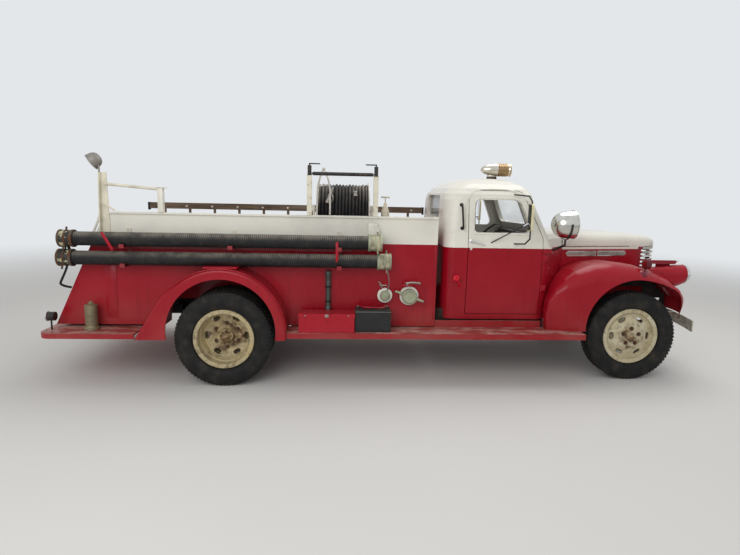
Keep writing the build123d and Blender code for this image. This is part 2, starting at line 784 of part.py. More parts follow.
for angle in (0, 15, 30, 45, 60, 75, 90):
    out, up = cos(radians(angle)), sin(radians(angle))
    spread = [top + (eaves - top) * out for eaves, top in zip(EAVES[1:], ROOF_TOP[1:])]
    UPPER_SECTIONS.append(
        (
            EAVES[0] + (ROOF_TOP[0] - EAVES[0]) * up,
            *spread,
            60 + 110 * out + 80 * sin(radians(2 * angle)),
            60 - 10 * up,
            40 + 240 * up,
            out,
        )
    )
COWL_SHOULDER_X = 1580.0


def inner_level(z, inset, share):
    """Height and sideways inset of a section once the form is pulled in by a wall's thickness."""
    return z - inset * sqrt(1 - share**2), inset * share


def cab_form(inset):
    """The cab's closed outer form, pulled in on every side but below by this much."""
    lower = []
    for z, half, front, share in LOWER_SECTIONS:
        level_z, side_in = inner_level(z, inset, share)
        with BuildSketch(Plane.XY.offset(level_z)) as level:
            with BuildLine():
                FilletPolyline(
                    (CAB_BACK_X + side_in, -half + side_in),
                    (COWL_SHOULDER_X, -half + side_in),
                    (COWL_FRONT_X - side_in, -front + side_in),
                    (COWL_FRONT_X - side_in, front - side_in),
                    (COWL_SHOULDER_X, half - side_in),
                    (CAB_BACK_X + side_in, half - side_in),
                    radius=[120 - side_in / 2, 150, 16, 16, 150, 120 - side_in / 2],
                    close=True,
                )
            make_face()
        lower.append(level.sketch.face())
    upper = []
    for z, back, pillar, centre, half, rear_r, front_r, centre_r, share in UPPER_SECTIONS:
        level_z, side_in = inner_level(z, inset, share)
        with BuildSketch(Plane.XY.offset(level_z)) as level:
            with BuildLine():
                FilletPolyline(
                    (back + side_in, -half + side_in),
                    (pillar - side_in, -half + side_in),
                    (centre - side_in, 0),
                    (pillar - side_in, half - side_in),
                    (back + side_in, half - side_in),
                    radius=[rear_r - side_in / 2, front_r, centre_r, front_r, rear_r - side_in / 2],
                    close=True,
                )
            make_face()
        upper.append(level.sketch.face())
    with BuildPart() as form:
        loft(lower, ruled=True)
        loft(upper, ruled=True)
    return form.part


SCREEN_FROM_X = 1250.0
SCREEN_LOW = 1531.0
SCREEN_HIGH = 1837.0
REAR_WINDOW_Z = 1720.0
REAR_WINDOW_W = 738.0
REAR_WINDOW_H = 230.0
GLASS_GAP = 1.0
BIG = 4000.0

DOOR_OUTLINE = [
    (DOOR_REAR_X, DOOR_BOTTOM),
    (DOOR_REAR_X, 1893),
    (1328, 1893),
    (DOOR_FRONT_X, 1428),
    (DOOR_FRONT_X, DOOR_BOTTOM),
]
WINDOW_OUTLINE = [(850, 1480), (862, 1804), (1302, 1804), (1438, 1480)]


def cab_slice(inset, x0, x1, z0, z1):
    """What lies between these limits of the cab's form, pulled in by this much."""
    with BuildPart() as piece:
        add(cab_form(inset))
        span(x0, x1, -BIG, BIG, z0, z1, Mode.INTERSECT)
    return piece.part


def window_prisms(grow):
    """Blocks through the windshield's two panes and the rear window, grown by this much."""
    with BuildPart() as prisms:
        with BuildSketch(Plane.YZ.offset(SCREEN_FROM_X)) as panes:
            for side in (RIGHT, LEFT):
                with BuildLine():
                    FilletPolyline(
                        (side * 27, SCREEN_LOW),
                        (side * 654, SCREEN_LOW),
                        (side * 589, SCREEN_HIGH),
                        (side * 27, SCREEN_HIGH),
                        radius=[19, 49, 59, 19],
                        close=True,
                    )
                make_face()
            if grow:
                offset(amount=grow, mode=Mode.REPLACE)
        extrude(amount=600)
        with BuildSketch(Plane.YZ.offset(CAB_BACK_X - 100)):
            with Locations((0, REAR_WINDOW_Z)):
                RectangleRounded(REAR_WINDOW_W + 2 * grow, REAR_WINDOW_H + 2 * grow, 59 + grow)
        extrude(amount=200)
    return prisms.part


def door_prism(gap):
    """The right door's side outline grown by this gap, its rear edge rounded about the hinge."""
    swing = DOOR_HINGE_X - DOOR_REAR_X + gap
    with BuildPart() as prism:
        with BuildSketch(Plane.XZ.offset(500)) as outline:
            with BuildLine():
                FilletPolyline(*DOOR_OUTLINE, radius=[10, 105, 70, 120, 10], close=True)
            make_face()
            if gap:
                offset(amount=gap, mode=Mode.REPLACE)
        extrude(outline.sketch, amount=400)
        with Locations((DOOR_HINGE_X, -DOOR_HINGE_Y, BELT_Z)):
            Cylinder(swing, 1800, mode=Mode.INTERSECT)
    return prism.part


cab_outer = cab_form(0)
with BuildPart() as cab_shell:
    add(cab_outer)
    add(cab_form(CAB_WALL), mode=Mode.SUBTRACT)
    span(-BIG, BIG, -FRAME_HALF - 10, FRAME_HALF + 10, 0, FRAME_TOP + 1, Mode.SUBTRACT)
    opening = door_prism(MOVE_GAP)
    add(opening, mode=Mode.SUBTRACT)
    add(mirror(opening, about=Plane.XZ, mode=Mode.PRIVATE), mode=Mode.SUBTRACT)
    add(window_prisms(GLASS_GAP), mode=Mode.SUBTRACT)
    for side in (RIGHT, LEFT):
        span(
            HOOD_HINGE_X - HOOD_HINGE_R - 3,
            BIG,
            side * (HOOD_HINGE_IN_Y - 4),
            side * (HOOD_HINGE_IN_Y + HOOD_HINGE_L + 4),
            HOOD_HINGE_Z - HOOD_HINGE_R - 4,
            BELT_Z + 400,
            Mode.SUBTRACT,
        )

HEADER_Z = 1893 + MOVE_GAP
PANEL_SPLIT_X = 1100.0
with BuildPart() as cab_roof:
    add(cab_shell.part)
    span(-BIG, BIG, -BIG, BIG, -BIG, HEADER_Z, Mode.SUBTRACT)
cab_roof.part.label = "cab_roof"
export_step(cab_roof.part, "parts/cab_roof.step")

with BuildPart() as cab_back:
    add(cab_shell.part)
    span(-BIG, BIG, -BIG, BIG, HEADER_Z, BIG, Mode.SUBTRACT)
    span(PANEL_SPLIT_X, BIG, -BIG, BIG, -BIG, BIG, Mode.SUBTRACT)
cab_back.part.label = "cab_back"
export_step(cab_back.part, "parts/cab_back.step")

with BuildPart() as cab_cowl:
    add(cab_shell.part)
    span(-BIG, BIG, -BIG, BIG, HEADER_Z, BIG, Mode.SUBTRACT)
    span(-BIG, PANEL_SPLIT_X, -BIG, BIG, -BIG, BIG, Mode.SUBTRACT)
cab_cowl.part.label = "cab_cowl"
export_step(cab_cowl.part, "parts/cab_cowl.step")

# Doors are cut from the same form, thicker than the cab's wall, with their window opening
with BuildPart() as door_right:
    add(cab_outer)
    add(cab_form(DOOR_THICK), mode=Mode.SUBTRACT)
    add(door_prism(0), mode=Mode.INTERSECT)
    with BuildSketch(Plane.XZ.offset(450)):
        with BuildLine():
            FilletPolyline(*WINDOW_OUTLINE, radius=[40, 60, 80, 50], close=True)
        make_face()
    extrude(amount=500, mode=Mode.SUBTRACT)
door_right.part.label = "door_right"
export_step(door_right.part, "parts/door_right.step")
door_left = mirror(door_right.part, about=Plane.XZ)
door_left.label = "door_left"
export_step(door_left, "parts/door_left.step")

# Cab floor on the frame: skirts and ledges carry the shell; riser, firewall and steering column
TRIM_INSET = DOOR_THICK + 9.0
LEDGE_TOP = DOOR_BOTTOM - 13.0
LEDGE_IN_Y = 655.0
FIREWALL_X = 1775.0
WHEEL_CENTRE = Vector(1270, COLUMN_Y, 1345)
COLUMN_FOOT = Vector(FIREWALL_X + 10, COLUMN_Y, 888)
COLUMN_DIR = (WHEEL_CENTRE - COLUMN_FOOT).normalized()
COLUMN_R = 24.0
WHEEL_R = 215.0
with BuildPart() as cab_floor:
    add(cab_slice(TRIM_INSET, -BIG, BIG, FLOOR_Z, FLOOR_Z + FLOOR_T))
    for side in (RIGHT, LEFT):
        span(700, 1480, side * LEDGE_IN_Y, side * 700.5, CAB_BOTTOM, LEDGE_TOP)
        span(700, 1480, side * LEDGE_IN_Y, side * 677, LEDGE_TOP, FLOOR_Z)
    span(630, 1130, -620, 620, FLOOR_Z + FLOOR_T, 900)
    span(FIREWALL_X, FIREWALL_X + 20, -390, 390, FLOOR_Z + FLOOR_T, 1430)
    rod(tuple(COLUMN_FOOT), tuple(WHEEL_CENTRE - COLUMN_DIR * 60), COLUMN_R)
cab_floor.part.label = "cab_floor"
export_step(cab_floor.part, "parts/cab_floor.step")

# Seat: a long cushion on the riser and a backrest behind it
with BuildPart() as seat_cushions:
    span(746, 1185, -630, 630, 900, 1030)
    span(632, 742, -630, 630, 900, 1470)
    fillet(seat_cushions.edges().filter_by(Axis.Y), 30)
seat_cushions.part.label = "seat_cushions"
export_step(seat_cushions.part, "parts/seat_cushions.step")

# Dashboard across the cab ahead of the doors, fixed to the shell beyond their openings
with BuildPart() as dashboard:
    add(cab_slice(CAB_WALL + SEAT_GAP, 1558, 1590, 1250, 1440))
    span(0, BIG, -600, 600, 0, BIG, Mode.SUBTRACT)
    add(cab_slice(TRIM_INSET, 1490, 1560, 1240, 1450))
dashboard.part.label = "dashboard"
export_step(dashboard.part, "parts/dashboard.step")

# Glass: two windshield panes and the rear window, each inside its opening
with BuildPart() as cab_glass:
    add(cab_form(CAB_WALL / 2))
    add(cab_form(CAB_WALL / 2 + GLASS_T), mode=Mode.SUBTRACT)
    add(window_prisms(0), mode=Mode.INTERSECT)
cab_glass.part.label = "cab_glass"
export_step(cab_glass.part, "parts/cab_glass.step")

# Steering wheel at the end of its column
with BuildPart() as steering_wheel:
    with Locations(Plane(origin=WHEEL_CENTRE, z_dir=COLUMN_DIR, x_dir=(0, 1, 0)).location):
        Torus(WHEEL_R, 13)
        Cylinder(38, 50)
        for turn in (90, 210, 330):
            with Locations(Location((0, 0, 0), (0, 0, turn))):
                with Locations((WHEEL_R / 2, 0, 0)):
                    Box(WHEEL_R, 22, 9)
steering_wheel.part.label = "steering_wheel"
export_step(steering_wheel.part, "parts/steering_wheel.step")


# Hood: lofted along its length, round-nosed in plan, hollow and open below
def nose_half(x, inset=0.0):
    """Half width of the hood and nose at this distance along the engine."""
    if x <= HOOD_NOSE_X:
        share = (x - COWL_FRONT_X) / (HOOD_NOSE_X - COWL_FRONT_X)
        return COWL_FRONT_HALF + (HOOD_NOSE_R - COWL_FRONT_HALF) * share - inset
    return sqrt((HOOD_NOSE_R - inset) ** 2 - (x - HOOD_NOSE_X) ** 2)


HOOD_STATIONS = (
    # x, height of the ridge before it is rounded
    (HOOD_REAR_X, 1496.0),
    (2250.0, 1489.0),
    (2560.0, 1477.0),
)
NOSE_STATIONS = (
    # angle round the nose, height of the ridge before it is rounded
    (0.0, 1463.0),
    (16.0, 1455.0),
    (31.0, 1441.0),
    (44.0, 1422.0),
    (56.0, 1399.0),
    (67.0, 1375.0),
    (76.0, 1356.0),
)


def hood_form(inset):
    """The hood's closed outer form, pulled in by this much and open ended below."""
    stations = [(x, nose_half(x, inset), top) for x, top in HOOD_STATIONS]
    radius = HOOD_NOSE_R - inset
    for angle, top in NOSE_STATIONS:
        turn = radians(angle)
        stations.append((HOOD_NOSE_X + radius * sin(turn), radius * cos(turn), top))
    sections = []
    for x, half, top in stations:
        bottom = HOOD_BOTTOM - (1 if inset else 0)
        height = top - inset - bottom
        crown = height * 0.16
        shoulder = min(height * 0.62, half * 0.5)
        ridge = 0.85 * (half - shoulder) * half / crown
        with BuildSketch(Plane.YZ.offset(x)) as section:
            with BuildLine():
                FilletPolyline(
                    (-half, bottom),
                    (-half, top - inset - crown),
                    (0, top - inset),
                    (half, top - inset - crown),
                    (half, bottom),
                    radius=[0, shoulder, ridge, shoulder, 0],
                    close=True,
                )
            make_face()
        sections.append(section.sketch.face())
    with BuildPart() as form:
        loft(sections, ruled=True)
    return form.part


with BuildPart() as hood:
    add(hood_form(0))
    add(hood_form(HOOD_SKIN), mode=Mode.SUBTRACT)
    for side in (RIGHT, LEFT):
        rod(
            (HOOD_HINGE_X, side * HOOD_HINGE_IN_Y, HOOD_HINGE_Z),
            (HOOD_HINGE_X, side * (HOOD_HINGE_IN_Y + HOOD_HINGE_L), HOOD_HINGE_Z),
            HOOD_HINGE_R,
        )
hood.part.label = "hood"
export_step(hood.part, "parts/hood.step")

# Hood sides, fixed panels between the cowl and the grille
with BuildPart() as hood_sides:
    for side in (RIGHT, LEFT):
        extrude(
            plan_face(
                [
                    (COWL_FRONT_X, side * COWL_FRONT_HALF),
                    (HOOD_NOSE_X, side * HOOD_NOSE_R),
                    (HOOD_NOSE_X, side * (HOOD_NOSE_R - HOOD_SIDE_WALL)),
                    (COWL_FRONT_X, side * (COWL_FRONT_HALF - HOOD_SIDE_WALL)),
                ],
                HOOD_SIDE_BOTTOM,
            ),
            amount=HOOD_SIDE_TOP - HOOD_SIDE_BOTTOM,
        )
hood_sides.part.label = "hood_sides"
export_step(hood_sides.part, "parts/hood_sides.step")

# Grille: a round-nosed shell cut into level bars, with a strip left down its prow
BAR_PITCH = (HOOD_SIDE_TOP - GRILLE_BOTTOM - 40) / GRILLE_BARS
with BuildPart() as grille:
    with BuildSketch(Plane.XY.offset(GRILLE_BOTTOM)):
        with Locations((HOOD_NOSE_X, 0)):
            Circle(HOOD_NOSE_R)
            Circle(HOOD_NOSE_R - HOOD_SIDE_WALL, mode=Mode.SUBTRACT)
        with Locations((HOOD_NOSE_X - BIG / 2, 0)):
            Rectangle(BIG, BIG, mode=Mode.SUBTRACT)
    extrude(amount=HOOD_SIDE_TOP - GRILLE_BOTTOM)
    for bar in range(GRILLE_BARS):
        low = GRILLE_BOTTOM + 30 + bar * BAR_PITCH
        for side in (RIGHT, LEFT):
            span(HOOD_NOSE_X + 40, BIG, side * 14, side * 400, low, low + BAR_PITCH * 0.56, Mode.SUBTRACT)
grille.part.label = "grille"
export_step(grille.part, "parts/grille.step")


# Front fenders, lofted along their length: a crown of two quarter ellipses over a vertical outer side
CROWN_X = 2250.0
CROWN_Z = 1220.0
FENDER_TAIL_X = 1590.0
FENDER_TAIL_Z = 700.0
FENDER_TAIL_OUT = 80.0
FENDER_FRONT_X = 3060.0
FENDER_FRONT_Z = 600.0
FENDER_CORNER_R = 290.0
FENDER_LOW = 300.0
TAIL_ANGLES = (90, 76, 62, 48, 34, 17, 0)
FRONT_ANGLES = (17, 32, 46, 59, 71, 82)


def fender_section(x, crown, inset):
    """The fender's outline across the engine at this distance along it, right side."""
    inner = COWL_FRONT_HALF + (COWL_FRONT_X - x) * 1.075
    if x > COWL_FRONT_X:
        inner = nose_half(min(x, HOOD_NOSE_X))
    outer = FENDER_OUT_Y
    if x < FENDER_TAIL_X + 400:
        outer -= FENDER_TAIL_OUT * ((FENDER_TAIL_X + 400 - x) / 400) ** 2
    corner_x = FENDER_FRONT_X - FENDER_CORNER_R
    if x > corner_x:
        outer -= FENDER_CORNER_R - sqrt(FENDER_CORNER_R**2 - (x - corner_x) ** 2)
    inner = min(inner, COWL_FRONT_HALF + 318) + SEAT_GAP + inset
    outer -= inset
    with BuildSketch(Plane.YZ.offset(x)) as section:
        with BuildLine():
            FilletPolyline(
                (-inner, FENDER_LOW),
                (-inner, crown - 0.05 * (outer - inner)),
                (-outer, crown),
                (-outer, FENDER_LOW),
                radius=[0, 10, FENDER_ROUND * (outer - inner) / 550, 0],
                close=True,
            )
        make_face()
    return section.sketch.face()


def fender_form(inset):
    """The right fender's closed form, pulled in by this much and running on below."""
    tail = CROWN_X - FENDER_TAIL_X - inset
    front = FENDER_FRONT_X - CROWN_X - inset
    stations = [
        (CROWN_X - tail * sin(radians(turn)), FENDER_TAIL_Z + (CROWN_Z - FENDER_TAIL_Z - inset) * cos(radians(turn)))
        for turn in TAIL_ANGLES
    ] + [
        (CROWN_X + front * sin(radians(turn)), FENDER_FRONT_Z + (CROWN_Z - FENDER_FRONT_Z - inset) * cos(radians(turn)))
        for turn in FRONT_ANGLES
    ]
    with BuildPart() as form:
        loft([fender_section(x, crown, inset) for x, crown in stations], ruled=True)
    return form.part


# Headlight pods: upright slots lofted back into the fender's crown
POD_SECTIONS = (
    # x, top, bottom, half width
    (LAMP_FRONT_X - 6, LAMP_Z + LAMP_R, LAMP_Z - LAMP_R, LAMP_R - 0.5),
    (3040.0, 1182.0, 890.0, 108.0),
    (2860.0, 1162.0, 860.0, 90.0),
    (2620.0, 1125.0, 880.0, 50.0),
)


def pod_form():
    """The right headlight pod, run back into the fender's crown."""
    faces = []
    for x, top, bottom, half in POD_SECTIONS:
        with BuildSketch(Plane.YZ.offset(x)) as slot:
            with Locations((-LAMP_Y, (top + bottom) / 2)):
                SlotOverall(top - bottom, 2 * half, rotation=90)
        faces.append(slot.sketch.face())
    with BuildPart() as form:
        loft(faces, ruled=True)
    return form.part


with BuildPart() as front_fenders:
    add(fender_form(0))
    add(pod_form())
    add(fender_form(FENDER_SKIN), mode=Mode.SUBTRACT)
    span(1500, BIG, -BIG, 0, 0, BOARD_TOP, Mode.SUBTRACT)
    span(FRONT_ARCH_X, BIG, -BIG, 0, 0, 690, Mode.SUBTRACT)
    span(1500, BIG, -FRAME_HALF - 12, 0, 0, FRAME_TOP + 40, Mode.SUBTRACT)
    with BuildSketch(Plane.XZ.offset(FRAME_HALF + 12)):
        with Locations((FRONT_ARCH_X, FRONT_ARCH_Z)):
            Circle(FRONT_ARCH_R)
    extrude(amount=800, mode=Mode.SUBTRACT)
    rod((LAMP_FRONT_X - LENS_DEPTH, -LAMP_Y, LAMP_Z), (LAMP_FRONT_X, -LAMP_Y, LAMP_Z), LENS_R + GLASS_GAP, Mode.SUBTRACT)
    mirror(about=Plane.XZ)
front_fenders.part.label = "front_fenders"
export_step(front_fenders.part, "parts/front_fenders.step")

# Headlights: a domed lens with its bezel ring in each pod, and a slim parking lamp on top
PARK_REAR_X = 2759.0
PARK_FRONT_X = 3056.0
PARK_Z = 1205.0
PARK_HALF = 12.0
with BuildPart() as headlights:
    lamp = Plane(origin=(LAMP_FRONT_X, -LAMP_Y, LAMP_Z), x_dir=(0, 1, 0), z_dir=(1, 0, 0))
    seat = -6 + SEAT_GAP
    with BuildSketch(turning_section(lamp)):
        with BuildLine():
            Polyline(
                (0, 10),
                (0, -LENS_DEPTH + SEAT_GAP),
                (LENS_R, -LENS_DEPTH + SEAT_GAP),
                (LENS_R, seat),
                (LAMP_R - 2, seat),
                (LAMP_R + 2, -2),
                (LAMP_R - 2, 7),
                (LENS_R + 2, 9),
                (LENS_R - 3, 3),
            )
            Spline((LENS_R - 3, 3), (0, 10), tangents=((-1, 0.2), (-1, 0)))
        make_face()
    revolve(axis=Axis(lamp.origin, lamp.z_dir))
    with BuildSketch(Plane.XY.offset(PARK_Z - PARK_HALF)):
        with BuildLine():
            FilletPolyline(
                (PARK_REAR_X, -LAMP_Y - 3),
                (PARK_REAR_X + 130, -LAMP_Y - 18),
                (PARK_FRONT_X, -LAMP_Y - 18),
                (PARK_FRONT_X, -LAMP_Y + 18),
                (PARK_REAR_X + 130, -LAMP_Y + 18),
                (PARK_REAR_X, -LAMP_Y + 3),
                radius=[2, 60, 17, 17, 60, 2],
                close=True,
            )
        make_face()
    extrude(amount=2 * PARK_HALF)
    span(PARK_REAR_X + 60, PARK_FRONT_X - 60, -LAMP_Y - 5, -LAMP_Y + 5, LAMP_Z, PARK_Z)
    add(pod_form(), mode=Mode.SUBTRACT)
    mirror(about=Plane.XZ)
headlights.part.label = "headlights"
export_step(headlights.part, "parts/headlights.step")

# Front bumper: a bowed bar on two arms from the frame's ends
BUMPER_BOW_R = 3199.0
BUMPER_LOW = 505.0
BUMPER_HIGH = 620.0
BUMPER_T = 12.0
with BuildPart() as front_bumper:
    with BuildSketch(Plane.XY.offset(BUMPER_LOW)):
        with Locations((BUMPER_FRONT_X - BUMPER_BOW_R, 0)):
            Circle(BUMPER_BOW_R)
            Circle(BUMPER_BOW_R - BUMPER_T, mode=Mode.SUBTRACT)
        with Locations((BUMPER_FRONT_X, 0)):
            Rectangle(400, 1700, mode=Mode.INTERSECT)
    extrude(amount=BUMPER_HIGH - BUMPER_LOW)
    for side in (RIGHT, LEFT):
        span(
            FRAME_FRONT_X + SEAT_GAP,
            BUMPER_FRONT_X - 33,
            side * (FRAME_HALF - 12),
            side * FRAME_HALF,
            FRAME_BOTTOM,
            BUMPER_HIGH,
        )
        span(
            FRAME_FRONT_X + SEAT_GAP,
            FRAME_FRONT_X + 12,
            side * (FRAME_HALF - FRAME_FLANGE),
            side * FRAME_HALF,
            FRAME_BOTTOM,
            BUMPER_HIGH,
        )
front_bumper.part.label = "front_bumper"
export_step(front_bumper.part, "parts/front_bumper.step")

# Mirrors stand off the doors on three arms that end on the door's skin
MIRROR_X = 1322.0
MIRROR_Y = 950.0
MIRROR_Z = 1648.0
MIRROR_W = 96.0
MIRROR_H = 254.0
MIRROR_T = 20.0
for side, word in ((RIGHT, "right"), (LEFT, "left")):
    stud_x = MIRROR_X + MIRROR_T - 4
    with BuildPart() as mirror_part:
        with BuildSketch(Plane.YZ.offset(MIRROR_X)):
            with Locations((side * MIRROR_Y, MIRROR_Z)):
                RectangleRounded(MIRROR_W, MIRROR_H, 18)
        extrude(amount=MIRROR_T)
        rod((stud_x, side * (MIRROR_Y - 20), MIRROR_Z - 50), (991, side * 740, 1362), 6)
        rod((stud_x, side * MIRROR_Y, MIRROR_Z - 60), (stud_x, side * MIRROR_Y, 1440), 7)
        rod((stud_x, side * MIRROR_Y, 1440), (1318, side * 880, 1386), 7)
        rod((1318, side * 880, 1386), (1240, side * 735, 1372), 7)
        rod((stud_x, side * MIRROR_Y, MIRROR_Z + 60), (stud_x, side * MIRROR_Y, 1800), 7)
        rod((stud_x, side * MIRROR_Y, 1800), (1325, side * 900, 1848), 7)
        rod((1325, side * 900, 1848), (1245, side * 650, 1862), 7)
        for joint in ((stud_x, MIRROR_Y, 1440), (1318, 880, 1386), (stud_x, MIRROR_Y, 1800), (1325, 900, 1848)):
            with Locations((joint[0], side * joint[1], joint[2])):
                Sphere(8)
        add(cab_outer, mode=Mode.SUBTRACT)
    mirror_part.part.label = f"mirror_{word}"
    export_step(mirror_part.part, f"parts/mirror_{word}.step")

# Siren on the cab roof: a body with a rounded tail, a ribbed rotor band, a bell and a foot
SIREN_X = 1200.0
SIREN_Z = 2127.0
SIREN_R = 71.0
SIREN_TAIL_X = 1072.0
SIREN_BAND_X = 1262.0
SIREN_FRONT_X = 1404.0
SIREN_RIBS = 4
with BuildPart() as siren:
    with BuildSketch(Plane.XZ):
        with BuildLine():
            EllipticalCenterArc(
                (SIREN_BAND_X, SIREN_Z),
                SIREN_BAND_X - SIREN_TAIL_X,
                SIREN_R,
                start_angle=90,
                arc_size=90,
            )
            Polyline((SIREN_TAIL_X, SIREN_Z), (SIREN_FRONT_X - 60, SIREN_Z), (SIREN_FRONT_X - 60, SIREN_Z + 46))
            ThreePointArc(
                (SIREN_FRONT_X - 60, SIREN_Z + 46),
                (SIREN_FRONT_X - 25, SIREN_Z + 56),
                (SIREN_FRONT_X, SIREN_Z + SIREN_R - 8),
            )
            Polyline(
                (SIREN_FRONT_X, SIREN_Z + SIREN_R - 8),
                (SIREN_FRONT_X, SIREN_Z + SIREN_R),
                (SIREN_FRONT_X - 14, SIREN_Z + SIREN_R),
                (SIREN_FRONT_X - 34, SIREN_Z + SIREN_R - 6),
                (SIREN_BAND_X, SIREN_Z + SIREN_R - 6),
                (SIREN_BAND_X, SIREN_Z + SIREN_R),
            )
        make_face()
        pitch = (SIREN_FRONT_X - 34 - SIREN_BAND_X) / SIREN_RIBS
        for rib in range(SIREN_RIBS):
            with Locations((SIREN_BAND_X + pitch * (rib + 0.5), SIREN_Z + SIREN_R - 6)):
                Rectangle(pitch * 0.5, 12)
    revolve(axis=Axis((0, 0, SIREN_Z), (1, 0, 0)))
    with BuildSketch(Plane.XY.offset(SIREN_Z - SIREN_R + 12)):
        with Locations((SIREN_X, 0)):
            Ellipse(50, 26)
    with BuildSketch(Plane.XY.offset(1996)):
        with Locations((SIREN_X, 0)):
            Ellipse(66, 52)
    loft(ruled=True)
    add(cab_outer, mode=Mode.SUBTRACT)
siren.part.label = "siren"
export_step(siren.part, "parts/siren.step")


def spotlight(plane, radius, depth):
    """A bowl-shaped lamp whose rim lies on this plane, its lens facing along the normal."""
    with BuildPart() as can:
        with BuildSketch(turning_section(plane)):
            with BuildLine():
                Spline((0, -depth), (radius, 0), tangents=((1, 0), (0, 1)))
                Polyline((radius, 0), (radius + 5, 2), (radius + 5, 12), (radius - 3, 14))
                Spline((radius - 3, 14), (0, 24), tangents=((-1, 0.3), (-1, 0)))
                Line((0, 24), (0, -depth))
            make_face()
        revolve(axis=Axis(plane.origin, plane.z_dir))
    return can.part


# Lamps: spotlights on the cowl and the rear post, turn signals on the fenders, tail lights
SPOT_RIM = Vector(1798, -820, 1580)
SPOT_R = 138.0
SPOT_DEPTH = 200.0
YOKE_X = SPOT_RIM.X - 53
YOKE_R = SPOT_R + 5
REAR_SPOT_RIM = Vector(-2786, -800, 2080)
SIGNAL_X = 2618.0
SIGNAL_Y = 800.0
SIGNAL_Z = 1196.0
SIGNAL_R = 52.0
SIGNAL_FOOT = Vector(2545, -850, 1086)
TAIL_LIGHT_X = -3190.0
TAIL_LIGHT_Y = 930.0
TAIL_LIGHT_Z = 640.0
TAIL_LIGHT_R = 42.0
with BuildPart() as lamp_set:
    add(spotlight(Plane(origin=SPOT_RIM, z_dir=(1, 0.06, 0.03)), SPOT_R, SPOT_DEPTH))
    with BuildSketch(Plane.YZ.offset(YOKE_X - 8)):
        with Locations((SPOT_RIM.Y, SPOT_RIM.Z)):
            Circle(YOKE_R + 8)
            Circle(YOKE_R, mode=Mode.SUBTRACT)
            with Locations((0, SPOT_R)):
                Rectangle(3 * SPOT_R, 2 * SPOT_R - 20, mode=Mode.SUBTRACT)
    extrude(amount=16)
    yoke_low = SPOT_RIM.Z - YOKE_R
    rod((YOKE_X, SPOT_RIM.Y - YOKE_R - 9, SPOT_RIM.Z - 18), (YOKE_X, SPOT_RIM.Y + YOKE_R + 9, SPOT_RIM.Z - 18), 7)
    rod((YOKE_X, SPOT_RIM.Y, yoke_low - 4), (YOKE_X, SPOT_RIM.Y, 1368), 10)
    rod((YOKE_X, SPOT_RIM.Y, 1376), (1640, -660, 1286), 12)
    add(spotlight(Plane(origin=REAR_SPOT_RIM, z_dir=(-1, -0.25, -0.75)), 74, 86))
    rod((-2716, -826, 1985 + SEAT_GAP), (-2716, -826, 2034), 8)
    rod((-2716, -826, 2030), (-2745, -800, 2095), 8)
    add(cab_outer, mode=Mode.SUBTRACT)
    for side in (RIGHT, LEFT):
        rod((TAIL_LIGHT_X, side * TAIL_LIGHT_Y, STEP_TOP + SEAT_GAP), (TAIL_LIGHT_X, side * TAIL_LIGHT_Y, TAIL_LIGHT_Z), 8)
        rod(
            (TAIL_LIGHT_X - 35, side * TAIL_LIGHT_Y, TAIL_LIGHT_Z),
            (TAIL_LIGHT_X + 40, side * TAIL_LIGHT_Y, TAIL_LIGHT_Z),
            TAIL_LIGHT_R,
        )
with BuildPart() as turn_signal:
    with BuildSketch(turning_section(Plane(origin=(SIGNAL_X, -SIGNAL_Y, SIGNAL_Z), z_dir=(1, 0, 0)))):
        with BuildLine():
            Spline((0, -40), (SIGNAL_R - 4, -26), tangents=((1, 0), (1, 0.7)))
            Polyline((SIGNAL_R - 4, -26), (SIGNAL_R, -24), (SIGNAL_R, 24), (SIGNAL_R - 4, 26))
            Spline((SIGNAL_R - 4, 26), (0, 40), tangents=((-1, 0.7), (-1, 0)))
            Line((0, 40), (0, -40))
        make_face()
    revolve(axis=Axis((0, -SIGNAL_Y, SIGNAL_Z), (1, 0, 0)))
    rod((SIGNAL_X, -SIGNAL_Y, SIGNAL_Z - 40), tuple(SIGNAL_FOOT), 11)
    with Locations(tuple(SIGNAL_FOOT)):
        Sphere(52)
    add(fender_form(0), mode=Mode.SUBTRACT)
with BuildPart() as lamps:
    add(lamp_set.part)
    add(turn_signal.part)
    mirror(turn_signal.part, about=Plane.XZ)
lamps.part.label = "lamps"
export_step(lamps.part, "parts/lamps.step")

